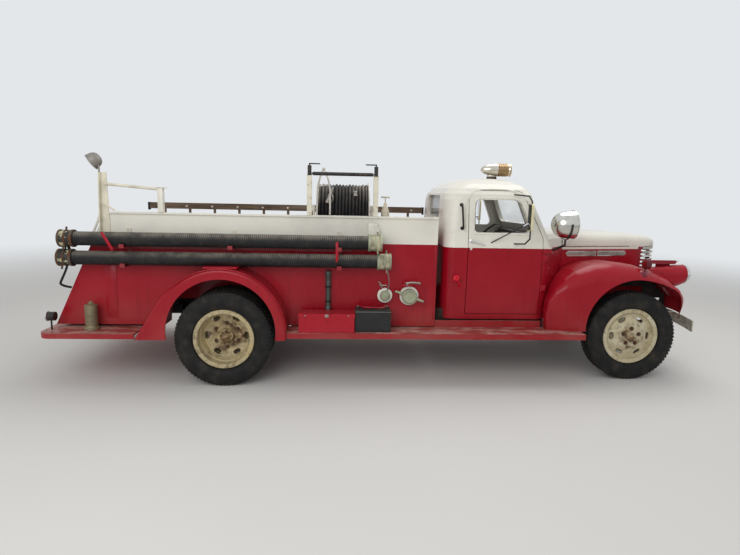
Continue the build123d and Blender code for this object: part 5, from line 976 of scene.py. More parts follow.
# %% Hood crease and side strips
STRIP_LOW, STRIP_HIGH = 1.224, 1.281
STRIPS = (
    # rear end, front end, which end is pointed
    (1.912, 2.278, -1),
    (2.295, 2.652, 1),
)
for side, word in SIDES:
    shape = bmesh.new()
    crease = (1.885, 2.0, 2.2, 2.4, 2.6, 2.75, 2.85)
    rod(shape, [on_side(("hood",), x, 1.35 - (x - 1.885) * 0.004, side) for x in crease], 0.0045)
    piece(f"hood_crease_{word}", shape, "cream paint", "hood")
    for part, (rear, front, point) in enumerate(STRIPS, 1):
        for name, finish, inset, proud in (("strip", "chrome", 0.0, 0.007), ("strip_inlay", "steel", 0.01, 0.009)):
            start, end, low, high = rear + inset, front - inset, STRIP_LOW + inset, STRIP_HIGH - inset
            tip = ((start if point < 0 else end), 0, (low + high) / 2)
            cuts = (*between(low, high), ((start, 0, 0), (-1, 0, 0)), ((end, 0, 0), (1, 0, 0)),
                    (tip, (point, 0, -0.9)), (tip, (point, 0, 0.9)))  # fmt: skip
            band(f"hood_{name}_{word}_{part}", "hood_sides", finish, side, cuts, proud, 0.2)
    band(f"hood_belt_{word}", "hood_sides", "cream paint", side, between(1.298, 1.323), 0.004, 0.2)
print("hood crease and strips")

# %% [markdown]
# Along the right side lie the two hard suction hoses. Each end has a cast coupling with rings and a pair of
# lugs to turn it by. Red steel straps hold the hoses on their racks, a bent stay props their rear ends, and a
# hook on a plate holds them in front.

# %% Suction hose couplings
HOSE_Y, COUPLING_R, EDGE = -0.935, 0.076, 0.0015
HOSES = (
    # z, rear end, front end
    (1.378, -3.05, -0.089),
    (1.2, -3.07, 0.0),
)
COUPLING_RINGS = (
    # from the hose's end, proud of the coupling, half length
    (0.006, 0.005, 0.01),
    (0.06, 0.004, 0.007),
    (0.118, 0.005, 0.012),
)
for word, finish in (("rear", "nut rust"), ("front", "cap metal")):
    shape = bmesh.new()
    for z, rear, front in HOSES:
        end, step = (rear, 1) if word == "rear" else (front, -1)
        for at, over, long in COUPLING_RINGS:
            inner, outer = COUPLING_R - 0.001, COUPLING_R + over
            outline = ((inner, -long), (outer - EDGE, -long), (outer, EDGE - long), (outer, long - EDGE), (outer - EDGE, long),
                       (inner, long))  # fmt: skip
            turned(shape, outline, (end + step * at, HOSE_Y, z), (1, 0, 0), 40, closed=True)
        for turn in (64, 244):
            out = vec(0, cos(radians(turn)), sin(radians(turn)))
            place = vec(end + step * 0.038, HOSE_Y, z) + out * (COUPLING_R - 0.004)
            bar(shape, place, place + out * 0.034, 0.01, 12, 0.008)
            ball(shape, place + out * 0.034, 0.0095)
    piece(f"hose_coupling_rings_{word}", shape, finish)
print("couplings on", len(HOSES), "hoses")

# %% Hose straps, stay and hook
STRAPS = (
    # lower end and upper end along and up, and lean, in front of the hoses
    ((-0.512, 1.205), (-0.512, 1.385), 0.0),
    ((-2.56, 1.285), (-2.645, 1.44), -0.502),
)
shape = bmesh.new()
for low, high, lean in STRAPS:
    length = sqrt((high[0] - low[0]) ** 2 + (high[1] - low[1]) ** 2)
    middle = vec((low[0] + high[0]) / 2, -1.0085, (low[1] + high[1]) / 2)
    size = vec(0.013, 0.003, length / 2)
    block(shape, middle - size, middle + size, 0.0015, Euler((0, lean, 0)))
    for end in (low, high):
        bar(shape, (end[0], -1.004, end[1]), (end[0], -1.018, end[1]), 0.0085, 6)
piece("hose_straps", shape, "box red")

shape = bmesh.new()
rod(shape, ((-3.005, -0.935, 1.128), (-3.02, -0.935, 1.08), (-3.078, -0.925, 0.975), (-3.09, -0.92, 0.945),
            (-3.05, -0.9, 0.92), (-3.02, -0.86, 0.905)), 0.011)  # fmt: skip
rod(shape, ((-2.985, -0.935, 1.3), (-2.98, -0.93, 1.29), (-2.98, -0.93, 1.275)), 0.014)
piece("hose_stay", shape, "black iron")

shape = bmesh.new()
rod(shape, ((-0.115, -0.838, 1.52), (-0.118, -0.848, 1.5), (-0.12, -0.865, 1.455), (-0.15, -0.905, 1.425),
            (-0.215, -0.915, 1.412)), 0.01)  # fmt: skip
block(shape, (-0.215, -0.8285, 1.3), (-0.125, -0.8245, 1.56), 0.002)
for height in (1.34, 1.42, 1.53):
    bar(shape, (-0.15, -0.827, height), (-0.15, -0.837, height), 0.009, 6)
piece("hose_hook_plate", shape, "rusty cream")
print("hose gear")

# %% [markdown]
# The pump's outlets come through the panel ahead of the hoses. The small one has a cap with a ring of pins and
# a lever over it, the large one a cap that is turned by two long lugs, with a red bracket and a handle above.
# The left side is the same, so each piece is made for the right and mirrored.

# %% Outlet caps and flanges
PANEL_Y = -0.825
SMALL, LARGE = vec(-0.038, 0, 0.853), vec(0.202, 0, 0.851)
OUTLETS = (
    # centre, y of the cap's face, cap radius, flange radius
    (SMALL, -0.87, 0.05, 0.074),
    (LARGE, -0.9, 0.07, 0.094),
)
# share of the cap's radius, and distance out from its face
CAP_FACE = ((0.16, 0.009), (0.2, 0.004), (0.62, 0.003), (0.68, 0.007), (0.84, 0.007), (0.9, 0.002), (0.97, 0.0))
right = (0, -1, 0)
faces, flanges = bmesh.new(), bmesh.new()
for centre, face_y, radius, ring in OUTLETS:
    place = vec(centre.x, face_y, centre.z)
    turned(faces, [(0, 0.01)] + [(radius * share, out) for share, out in CAP_FACE], place, right, 40)
    since = len(faces.verts)
    bar(faces, *near(place, (0, 0, radius * 0.76), (0, -0.012, radius * 0.76)), 0.004, 8)
    round_about(faces, since, 8, place, right)
    outline = ((ring - 0.03, 0.018), (ring - 0.004, 0.016), (ring, 0.012), (ring, 0.0), (ring - 0.03, 0.0))
    turned(flanges, outline, (centre.x, PANEL_Y - 0.002, centre.z), right, 40, closed=True)
piece("outlet_cap_faces", twice(faces), "cap metal")
piece("outlet_flanges", twice(flanges), "rusty cream")
print(len(OUTLETS), "outlets a side")

# %% Outlet levers, brackets and chain
CHAIN_LINKS, CHAIN_SAG = 13, vec(0.022, 0, -0.03)
shape = bmesh.new()
stem, lever = vec(0.175, PANEL_Y - 0.012, 0.975), vec(-0.075, PANEL_Y - 0.012, 0.945)
bar(shape, *near(stem, (0, 0.014, 0), (0, -0.05, 0)), 0.012)
handle = near(stem, (-0.01, -0.05, 0.01), (0.02, -0.055, 0.016), (0.075, -0.06, 0.02), (0.118, -0.06, 0.012))
rod(shape, handle, 0.01)
ball(shape, handle[-1], 0.014)
bar(shape, *near(lever, (0, 0.014, 0), (0, -0.03, 0)), 0.009)
rod(shape, near(lever, (0, -0.03, 0), (-0.004, -0.036, 0.03), (-0.03, -0.036, 0.052)), 0.007)
rod(shape, near(lever, (-0.02, -0.034, 0.018), (0.02, -0.034, 0.01), (0.05, -0.034, 0.016)), 0.006)
piece("outlet_levers", twice(shape), "steel")

shape = bmesh.new()
block(shape, (0.135, -0.862, 0.948), (0.232, -0.8245, 0.966), 0.003)
block(shape, (0.15, -0.832, 0.93), (0.215, -0.8245, 0.99), 0.002)
block(shape, (-0.088, -0.842, 0.905), (0.004, -0.8245, 0.922), 0.003)
piece("outlet_brackets", twice(shape), "box red")

shape = bmesh.new()
chain_top, chain_low = vec(-0.04, -1.006, 1.15), vec(-0.02, -0.862, 0.905)
for link in range(CHAIN_LINKS):
    t = (link + 0.5) / CHAIN_LINKS
    centre = chain_top.lerp(chain_low, t) + CHAIN_SAG * sin(pi * t)
    tangent = (chain_low - chain_top + CHAIN_SAG * (pi * cos(pi * t))).normalized()
    turn = tangent.to_track_quat("X", "Z").to_matrix() @ Matrix.Rotation(pi / 2 * (link % 2), 3, "X")
    loop = [centre + turn @ vec(0.0145 * cos(a), 0.0085 * sin(a), 0) for a in (pi / 3 * corner for corner in range(6))]
    rod(shape, loop + loop[:2], 0.0024, 8)
piece("outlet_chain", shape, "steel")
print("levers, brackets and a chain of", CHAIN_LINKS, "links")

# %% [markdown]
# On the running board stand a steel toolbox and an old battery. The box's lid has a hasp in the middle of its
# long edge. The battery case has posts, filler caps, a rim and a red cable across its top.

# %% Toolbox hasp and fittings
box_low, box_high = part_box("toolbox")
lid_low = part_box("toolbox_lid")[0]
mid = (box_low.x + box_high.x) / 2
shape = bmesh.new()
block(shape, (mid - 0.017, box_low.y - 0.0105, lid_low.z + 0.002), (mid + 0.017, lid_low.y - 0.0005, lid_low.z + 0.03), 0.001)
bar(shape, *near(lid_low, (mid - lid_low.x, -0.0005, 0.016), (mid - lid_low.x, -0.012, 0.016)), 0.0065, 12)
for x in (box_low.x + 0.06, box_high.x - 0.06):
    bar(shape, (x, lid_low.y + 0.001, lid_low.z + 0.02), (x, lid_low.y - 0.004, lid_low.z + 0.02), 0.006, 10)
piece("toolbox_hasp", shape, "steel", "toolbox_lid")
quarter = (box_high.x - box_low.x) / 4
TOOLBOX_FITTINGS = (
    # middle along the box, half width, proud of the box, low and high over its bottom
    (mid, 0.015, 0.006, 0.095, 0.138),
    (box_low.x + 0.014, 0.01, 0.003, 0.0, 0.14),
    (box_high.x - 0.014, 0.01, 0.003, 0.0, 0.14),
    (box_low.x + quarter, 0.03, 0.0025, 0.004, 0.012),
    (box_high.x - quarter, 0.03, 0.0025, 0.004, 0.012),
)
shape = bmesh.new()
for x, half, proud, low, high in TOOLBOX_FITTINGS:
    block(shape, (x - half, box_low.y - proud, box_low.z + low), (x + half, box_low.y + 0.001, box_low.z + high), 0.001)
bar(shape, (mid, box_low.y - 0.005, box_low.z + 0.118), (mid, box_low.y - 0.016, box_low.z + 0.118), 0.006, 12)
piece("toolbox_fittings", shape, "box red")
print("toolbox", round(box_high.x - box_low.x, 3), "m long")

# %% Battery top
low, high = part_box("battery")
top = vec((low.x + high.x) / 2, (low.y + high.y) / 2, high.z)
BATTERY_CAP = ((0, 0.012), (0.01, 0.012), (0.014, 0.009), (0.018, 0.004), (0.018, -0.002), (0, -0.002))
shape = bmesh.new()
for row in (-0.045, 0.045):
    for cell in (-0.11, 0.0, 0.11):
        turned(shape, BATTERY_CAP, top + vec(cell, row, 0), (0, 0, 1), 20)
piece("battery_caps", shape, "black plastic")
shape = bmesh.new()
for post in (-0.135, 0.135):
    centre = vec(top.x + post, high.y - 0.03, high.z)
    turned(shape, ((0, 0.02), (0.008, 0.02), (0.0095, 0.0), (0, 0.0)), centre, (0, 0, 1), 16)
    block(shape, *near(centre, (-0.018, -0.013, 0.004), (0.018, 0.013, 0.014)), 0.003)
piece("battery_posts", shape, "steel")
shape = bmesh.new()
left, front = vec(low.x, high.y, high.z), vec(low.x, low.y + 0.004, high.z)
cable = near(left, (0.03, -0.028, 0.012), (0.034, -0.06, 0.022)) + near(front, (0.07, 0.05, 0.018), (0.13, 0.03, 0.02))
front.x = high.x
cable += near(front, (-0.1, 0.035, 0.016), (-0.05, 0.02, 0.028)) + near(high, (-0.035, -0.06, 0.02), (-0.036, -0.03, 0.012))
rod(shape, cable, 0.0062)
piece("battery_cable", shape, "box red")
shape = bmesh.new()
block(shape, (low.x - 0.002, low.y - 0.002, high.z - 0.023), (high.x + 0.002, high.y + 0.002, high.z - 0.014), 0.002)
piece("battery_rim", shape, "grey lining")
print("battery", round(high.x - low.x, 3), "m long")

# %% [markdown]
# Over each rear wheel the fender has a step plate. The rear step has tread strips, which are repeated by a
# loop because they are all alike, and the tail lights have bright rims.

# %% Step plates, tread strips and tail light rims
shape = bmesh.new()
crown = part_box("rear_fenders")[1].z
block(shape, (-1.74, -1.075, crown - 0.004), (-1.43, -0.835, crown + 0.01), 0.003)
piece("fender_step_plates", twice(shape), "box red")
shape = bmesh.new()
step_low, step_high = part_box("rear_step")
for row in range(5):
    x = step_low.x + 0.08 + row * 0.14
    block(shape, (x, -0.62, step_high.z), (x + 0.035, 0.62, step_high.z + 0.004), 0.0015)
piece("rear_step_strips", shape, "black iron")
TAIL_RIM = ((0.044, 0.0), (0.047, 0.002), (0.047, 0.014), (0.0425, 0.016), (0.0425, 0.0))
shape = bmesh.new()
for side in (-1, 1):
    turned(shape, TAIL_RIM, (-3.229, side * 0.93, 0.64), (1, 0, 0), 32, closed=True)
piece("tail_light_rims", shape, "chrome")
print("rear pieces")

# %% [markdown]
# The extinguisher on the rear step is a ribbed brass can with a flat top and a flared foot, and the branch pipe
# clipped to the body has a knurled collar. The CAD solids are only their envelopes, so each piece is spun from
# a finer outline whose ribs are counted off.

# %% Extinguisher and branch pipe


def ribs(count, low, pitch, inner, outer, steps):
    """The outline of a row of ribs, four points to each."""
    return [(r, low + rib * pitch + step) for rib in range(count) for r, step in zip((inner, outer, outer, inner), steps)]


low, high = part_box("extinguisher")
foot, tall = vec((low.x + high.x) / 2, (low.y + high.y) / 2, low.z), high.z - low.z
outline = [(0, 0), (0.068, 0), (0.07, 0.004), (0.068, 0.02), (0.057, 0.028), (0.0535, 0.036)]
outline += ribs(12, 0.04, 0.0145, 0.0535, 0.0565, (0, 0.004, 0.009, 0.013))
outline += [(0.0535, 0.222), (0.058, 0.226), (0.058, 0.234), (0.054, 0.238), (0.026, 0.244), (0.022, 0.247), (0.022, 0.256),
            (0.012, 0.259), (0.01, tall - 0.004), (0, tall - 0.002)]  # fmt: skip
shape = bmesh.new()
turned(shape, outline, foot, (0, 0, 1), 44)
rod(shape, near(foot, (-0.024, 0, 0.246), (-0.018, 0, 0.268), (0.018, 0, 0.268), (0.024, 0, 0.246)), 0.0035)
can = piece("extinguisher_can", shape, "old brass", smooth=30)
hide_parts("extinguisher")

low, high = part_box("play_pipe")
foot = vec((low.x + high.x) / 2, low.y + 0.03, low.z)
outline = [(0, 0), (0.029, 0), (0.03, 0.004), (0.03, 0.044), (0.028, 0.048), (0.0245, 0.052), (0.0235, 0.1), (0.0235, 0.25),
           (0.0255, 0.262), (0.0255, 0.3)]  # fmt: skip
outline += ribs(9, 0.305, 0.006, 0.0255, 0.0275, (0, 0.0015, 0.0045, 0.006))
outline += [(0.0265, 0.365), (0.0285, 0.372), (0.0285, 0.392), (0.026, 0.397), (0, 0.398)]
shape, clips = bmesh.new(), bmesh.new()
turned(shape, outline, foot, (0, 0, 1), 40)
for height in (0.09, 0.235):
    block(shape, *near(foot, (-0.014, 0.01, height), (0.014, 0.0305, height + 0.022)), 0.002)
    clip = ((0.0235, 0), (0.0285, 0.0), (0.0285, 0.018), (0.0235, 0.018))
    turned(clips, clip, foot + vec(0, 0, height + 0.002), (0, 0, 1), 32, closed=True)
pipe = piece("branch_pipe", shape, "pipe metal", smooth=30)
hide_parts("play_pipe")
piece("branch_pipe_clips", clips, "black iron")
print("extinguisher and branch pipe")

# %% [markdown]
# Under the cab and behind the boards stands a dark sheet of thin steel. It is in part painted shade: the underside
# there lies in shadow behind the frame, and the sheet closes the gap through which daylight would otherwise show.
# Plain folded sheet is a block with rounded edges.

# %% Dark sheets for the shaded underside
shape = bmesh.new()
block(shape, (0.4, -0.7, 0.5), (1.56, -0.694, 0.7), 0.001)
block(shape, (-0.96, -0.77, 0.5), (0.47, -0.765, 0.56), 0.001)
piece("underside_shade_sheets", twice(shape), "underbody")
print("aprons")

# %% [markdown]
# The large cap is turned by two long tapered lugs, one up to the rear and one down to the front. The CAD's lugs
# stand at another angle, so the whole set of fittings is copied, the old lugs are taken off the copy, a collar
# closes the cap's side, and the new lugs grow out of the collar.

# %% Large cap with its lugs
CAP_R, LUG_Y = 0.07, 0.87


def off_axis(point):
    """How far a point lies from the large cap's axis."""
    return sqrt((point.x - LARGE.x) ** 2 + (point.z - LARGE.z) ** 2)


shape = copy_of("pump_fittings")
old_lugs = [vert for vert in shape.verts if CAP_R + 0.0008 < off_axis(vert.co) < 0.16 and 0.855 < abs(vert.co.y) < 0.885]
bmesh.ops.delete(shape, geom=old_lugs, context="VERTS")
fittings = piece("pump_fittings_body", shape, "pump_fittings")
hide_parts("pump_fittings")
COLLAR = ((CAP_R - 0.004, -0.02), (CAP_R + 0.004, -0.018), (CAP_R + 0.006, 0.0), (CAP_R + 0.004, 0.018), (CAP_R - 0.004, 0.02))
shape = bmesh.new()
hub = vec(LARGE.x, -LUG_Y, LARGE.z)
turned(shape, COLLAR, hub, (0, 1, 0), 48, closed=True)
for turn in (160, -20):
    out = vec(cos(radians(turn)), 0, sin(radians(turn)))
    bar(shape, hub + out * CAP_R, hub + out * 0.142, 0.017, 16, 0.011)
    ball(shape, hub + out * 0.142, 0.0125)
piece("outlet_cap_lugs", twice(shape), "cap metal")
print("cap lugs")

# %% [markdown]
# The live hose is wound on its reel, so it isn't a free cord: the turns lie on the drum and can't move. The CAD
# has them as one ribbed body. The piece that stands for it has a round bead for every turn in the outer layer,
# spun from one outline, and a few turns lie a little proud. The nozzle end is tucked in front.

# %% Wound hose, nozzle and coupling
REEL, HOSE_TURNS, BEAD_RISE, PROUDEST = vec(0, -0.25, 1.66), 15, 0.017, 0.0075
BEAD_PROFILE = ((0.04, 0.0), (0.16, 0.55), (0.34, 0.9), (0.5, 1.0), (0.66, 0.9), (0.84, 0.55), (0.96, 0.0))
hose_low, hose_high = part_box("reel_hose")
pitch, outer = (hose_high.x - hose_low.x) / HOSE_TURNS, (hose_high.z - hose_low.z) / 2
outline = [(outer - 0.045, hose_low.x)]
for turn in range(HOSE_TURNS):
    base = outer - BEAD_RISE - PROUDEST + 0.0025 * (turn * 7 % 4)
    outline += [(base + rise * BEAD_RISE, hose_low.x + pitch * (turn + step)) for step, rise in BEAD_PROFILE]
outline.append((outer - 0.045, hose_high.x))
shape = bmesh.new()
turned(shape, outline, REEL, (1, 0, 0), 72, closed=True)
wound = piece("wound_hose", shape, "reel hose", "reel", smooth=50)
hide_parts("reel_hose")


def on_turns(x, angle, proud):
    """A point over the wound hose, at this angle up from the right."""
    return REEL + vec(x, -outer * cos(radians(angle)) - proud, outer * sin(radians(angle)))


NOZZLE = ((0, -0.105), (0.009, -0.105), (0.011, -0.085), (0.017, -0.02), (0.021, -0.01), (0.021, 0.012), (0.018, 0.02),
          (0.018, 0.05), (0.024, 0.056), (0.024, 0.078), (0.016, 0.084), (0, 0.084))  # fmt: skip
COUPLING = ((0.012, -0.03), (0.021, -0.03), (0.023, -0.012), (0.019, -0.009), (0.019, 0.009), (0.023, 0.012), (0.021, 0.03),
            (0.012, 0.03))  # fmt: skip
shape = bmesh.new()
place = on_turns(-0.595, 32, 0.016)
turned(shape, NOZZLE, place, (-0.32, -0.3, -0.9), 28)
rod(shape, near(place, (0.02, -0.012, 0.02), (0.034, -0.03, 0.0), (0.036, -0.032, -0.035), (0.018, -0.024, -0.055)), 0.006)
piece("hose_nozzle", shape, "steel", "reel")
shape = bmesh.new()
turned(shape, COUPLING, on_turns(-0.335, 38, 0.012), (0.05, -0.55, -0.8), 24, closed=True)
piece("reel_coupling", shape, "steel", "reel")
print("wound hose", len(wound.data.polygons), "faces")

# %% [markdown]
# Each flange of the reel has a rolled rim, and a boss with a ring of bolts in its middle. The A-shaped bracket
# that steadies the hose stands on the reel's stand. Bars, turned rims and bent rods make them all.

# %% Reel rims, bosses and bracket
low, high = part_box("reel")
rim = high.z - REEL.z
shape = bmesh.new()
for face, side in ((low.x, -1), (high.x, 1)):
    hub = vec(face, REEL.y, REEL.z)
    bar(shape, *near(hub, (side * -0.002, 0, 0), (side * 0.012, 0, 0)), 0.04, 24)
    since = len(shape.verts)
    bar(shape, *near(hub, (0, 0, 0.026), (side * 0.016, 0, 0.026)), 0.0055, 6)
    round_about(shape, since, 6, REEL, (1, 0, 0))
piece("reel_bosses", shape, "rusty cream", "reel")
REEL_RIM = ((rim - 0.01, -0.007), (rim - 0.002, -0.007), (rim, -0.004), (rim, 0.004), (rim - 0.002, 0.007), (rim - 0.01, 0.007))
shape = bmesh.new()
for face in (hose_low.x - 0.008, hose_high.x + 0.008):
    turned(shape, REEL_RIM, (face, REEL.y, REEL.z), (1, 0, 0), 72, closed=True)
piece("reel_rims", shape, "cream paint", "reel")

shape = bmesh.new()
left, right, top = vec(-0.722, -0.56, 1.6), vec(-0.59, -0.575, 1.62), vec(-0.655, -0.555, 2.075)
rod(shape, (left, left + vec(0.008, 0, 0.3), top + vec(-0.022, 0, -0.03), top), 0.009)
rod(shape, (*near(right, (0, 0, 0), (0.004, 0, 0.2), (-0.01, 0, 0.33)), top + vec(0.02, 0, -0.04), top), 0.009)
bar(shape, left + vec(0.012, 0, 0.3), right + vec(-0.01, 0, 0.3), 0.007)
ball(shape, top, 0.015)
piece("reel_bracket", shape, "rusty cream")
print("reel details")

# %% [markdown]
# The ladder lies on edge. Its rails are timber, and each rung's end shows as a plug with a washer. The plugs
# are one short turned shape repeated along the rail. The rungs' places are read from the ladder's own length.

# %% Ladder plugs and rail irons
RUNGS, PLUG = 11, ((0, 0.004), (0.01, 0.0035), (0.016, 0.001), (0.016, -0.002), (0, -0.002))
low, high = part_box("ladder")
rails = (low.z + 0.045, high.z - 0.045)
plugs, irons = bmesh.new(), bmesh.new()
for rung in range(RUNGS):
    x = low.x + (high.x - low.x) * (rung + 0.5) / RUNGS
    for z in rails:
        turned(plugs, PLUG, (x, low.y, z), (0, -1, 0), 18)
        turned(plugs, PLUG, (x, high.y, z), (0, 1, 0), 18)
for x in (low.x + 0.01, high.x - 0.01):
    for z in rails:
        block(irons, (x - 0.012, low.y - 0.002, z - 0.047), (x + 0.012, high.y + 0.002, z + 0.047), 0.003)
piece("ladder_plugs", plugs, "steel")
piece("ladder_irons", irons, "black iron")
print("ladder with", RUNGS, "rungs")

# %% [markdown]
# The bench seat is a sprung cushion and a padded back in dark leathercloth. Real padding swells between its
# edges, so each pad starts as a slightly small rounded block, is remeshed evenly, and is blown up by a short
# cloth simulation with pressure and no gravity. The pleats are pressed in afterwards, where the seams run.

# %% Seat cushions
CLOTH_FRAMES, VOXEL, MOST_SWELL, PLEATS, PLEAT_HALF, PIPING_R = 20, 0.015, 0.016, 12, 0.022, 0.006


def frozen(holder):
    """The holder's mesh as its modifiers leave it now."""
    graph = bpy.context.evaluated_depsgraph_get()
    return bpy.data.meshes.new_from_object(holder.evaluated_get(graph))


def pad(name, low, high, deep):
    """A padded block with pleats across its width, swollen by a cloth simulation and pressed along this axis."""
    shape = bmesh.new()
    block(shape, Vector(low) + vec(0.012, 0.012, 0.012), Vector(high) - vec(0.012, 0.012, 0.012))
    bevel(shape, shape.edges[:], 0.03, 3)
    start = bpy.data.meshes.new(name)
    shape.to_mesh(start)
    shape.free()
    holder = bpy.data.objects.new(name, start)
    scene.collection.objects.link(holder)
    remesh = holder.modifiers.new("even mesh", "REMESH")
    remesh.mode = "VOXEL"
    remesh.voxel_size = VOXEL
    even = frozen(holder)
    holder.modifiers.clear()
    holder.data = even
    before = [vert.co.copy() for vert in even.vertices]
    cloth = holder.modifiers.new("stuffing", "CLOTH")
    cloth.settings.use_pressure = True
    cloth.settings.uniform_pressure_force = 4.0
    cloth.settings.effector_weights.gravity = 0.0
    cloth.settings.quality = 4
    cloth.point_cache.frame_start = 1
    cloth.point_cache.frame_end = CLOTH_FRAMES
    for step in range(1, CLOTH_FRAMES + 1):
        scene.frame_set(step)
    swollen = frozen(holder)
    holder.modifiers.clear()
    scene.frame_set(1)
    for vert, old in zip(swollen.vertices, before):
        shift = vert.co - old
        if shift.length > MOST_SWELL:
            vert.co = old + shift * (MOST_SWELL / shift.length)
    holder.data = swollen
    shape = bmesh.new()
    shape.from_mesh(holder.data)
    gap = (high[1] - low[1]) / PLEATS
    middle = (low[deep] + high[deep]) / 2
    for vert in shape.verts:
        along = (vert.co.y - low[1]) / gap
        off = abs(along - round(along)) * gap
        if 0.3 < along < PLEATS - 0.3 and off < PLEAT_HALF and vert.co[deep] > middle:
            vert.co[deep] -= 0.01 * (1 - off / PLEAT_HALF) ** 2
    bmesh.ops.smooth_vert(shape, verts=shape.verts, factor=0.3, use_axis_x=True, use_axis_y=True, use_axis_z=True)
    bpy.data.objects.remove(holder)
    made = piece(name, shape, "leathercloth", smooth=0)
    finer = made.modifiers.new("finer", "SUBSURF")
    finer.levels = finer.render_levels = 1
    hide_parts("seat_cushions")
    print(name, len(made.data.polygons), "faces")


pad("seat_pad", (0.746, -0.63, 0.9), (1.185, 0.63, 1.03), 2)
pad("seat_back", (0.632, -0.63, 0.905), (0.742, 0.63, 1.47), 0)
shape = bmesh.new()
rod(shape, ((1.178, -0.6, 1.018), (1.178, 0.0, 1.02), (1.178, 0.6, 1.018)), PIPING_R)
rod(shape, ((0.735, -0.6, 1.452), (0.737, 0.0, 1.455), (0.735, 0.6, 1.452)), PIPING_R)
piece("seat_piping", shape, "black plastic")

# %% [markdown]
# The dashboard carries round gauges in bright rims ahead of the driver. Below it are the pedals and the gear
# lever. Each gauge is turned, and its ticks are one small block carried round the dial.

# %% Gauges, pedals and gear lever
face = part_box("dashboard")[0].x
# y, z and radius of each dial
GAUGES = ((0.38, 1.35, 0.058), (0.235, 1.35, 0.038), (0.525, 1.35, 0.038), (0.1, 1.35, 0.03), (-0.05, 1.35, 0.03))
NEEDLE_TURN, PEDAL_TURN = Euler((radians(40), 0, 0)), Euler((0, radians(-28), 0))
shape, dials, marks = bmesh.new(), bmesh.new(), bmesh.new()
for y, z, radius in GAUGES:
    place, inner, outer = vec(face, y, z), radius - 0.003, radius + 0.006
    outline = ((inner, 0.0), (inner, 0.008), (radius + 0.002, 0.01), (outer, 0.006), (outer, 0.0))
    turned(shape, outline, place, (-1, 0, 0), 40, closed=True)
    turned(dials, ((0, 0.003), (radius - 0.002, 0.003), (radius - 0.002, 0.0), (0, 0.0)), place, (-1, 0, 0), 40)
    since = len(marks.verts)
    block(marks, *near(place, (-0.0045, -0.0012, radius * 0.72), (-0.003, 0.0012, radius * 0.88)))
    round_about(marks, since, 12, place, (1, 0, 0))
    block(marks, *near(place, (-0.005, -0.0012, radius * -0.15), (-0.0035, 0.0012, radius * 0.7)), turn=NEEDLE_TURN)
piece("gauge_rims", shape, "chrome")
piece("gauge_dials", dials, "black iron")
piece("gauge_marks", marks, "cream paint")
shape = bmesh.new()
for x, y in ((1.47, 0.5), (1.47, 0.4), (1.49, 0.28)):
    pedal = vec(x, y, 0.925)
    rod(shape, near(pedal, (0.01, 0, 0), (0.06, 0, -0.02), (0.12, 0, -0.1)), 0.008)
    block(shape, *near(pedal, (-0.006, -0.032, -0.04), (0.008, 0.032, 0.04)), 0.004, PEDAL_TURN)
rod(shape, ((1.33, 0.0, 0.77), (1.32, 0.0, 0.9), (1.3, 0.01, 1.02), (1.245, 0.03, 1.135)), 0.009)
ball(shape, (1.243, 0.031, 1.14), 0.022)
piece("pedals_and_lever", shape, "black iron")
print(len(GAUGES), "gauges, pedals and a lever")

# %% [markdown]
# Inside each door are the window crank and the release handle. Outside, one domed screw sits under the belt,
# and two more on the cowl. The door's pieces ride with it, so they turn with it when it opens.

# %% Door furniture
HANDLE_PLATE = ((0, 0.008), (0.018, 0.007), (0.022, 0.002), (0.022, -0.002), (0, -0.002))
SCREW = ((0, 0.01), (0.006, 0.009), (0.011, 0.004), (0.012, 0.0), (0, 0.0))
INNER_HANDLES = (
    # x, z, reach forward, reach up
    (1.0, 1.2, 0.1, -0.02),
    (1.22, 1.16, -0.09, 0.05),
)
for side, word in SIDES:
    door, out = f"door_{word}", vec(0, -side, 0)
    shape = bmesh.new()
    for x, z, reach, drop in INNER_HANDLES:
        hit = surface_at((door,), (x, 0.0, z), (0, side, 0))[0]
        turned(shape, HANDLE_PLATE, hit, out, 24)
        tip = hit + out * 0.03 + vec(reach, 0, drop)
        rod(shape, (hit, hit + out * 0.022, hit + out * 0.03 + vec(reach, 0, drop) * 0.3, tip), 0.006)
        ball(shape, tip + out * 0.012, 0.012)
    piece(f"door_inner_handles_{word}", shape, "steel", door)
    shape = bmesh.new()
    turned(shape, SCREW, on_side((door,), 0.818, 1.318, side), (0, side, 0), 20)
    piece(f"door_screw_{word}", shape, "cream paint", door)
    shape = bmesh.new()
    for x, z in ((1.608, 1.316), (1.64, 1.12)):
        turned(shape, SCREW, on_side(("cab_cowl",), x, z, side), (0, side, 0), 20)
    piece(f"cowl_screws_{word}", shape, "red paint")
print("door furniture")

# %% [markdown]
# The body sides are flat sheet, so their edges do the talking: a rolled rail along the top, a seam strip where
# two sheets meet, and rows of round-headed bolts. Bolts are one turned shape placed from a short table of rows.

# %% Rolled rails, seams and bolts
BOLT = ((0, 0.005), (0.0035, 0.0046), (0.0065, 0.0025), (0.0075, 0.0), (0, 0.0))
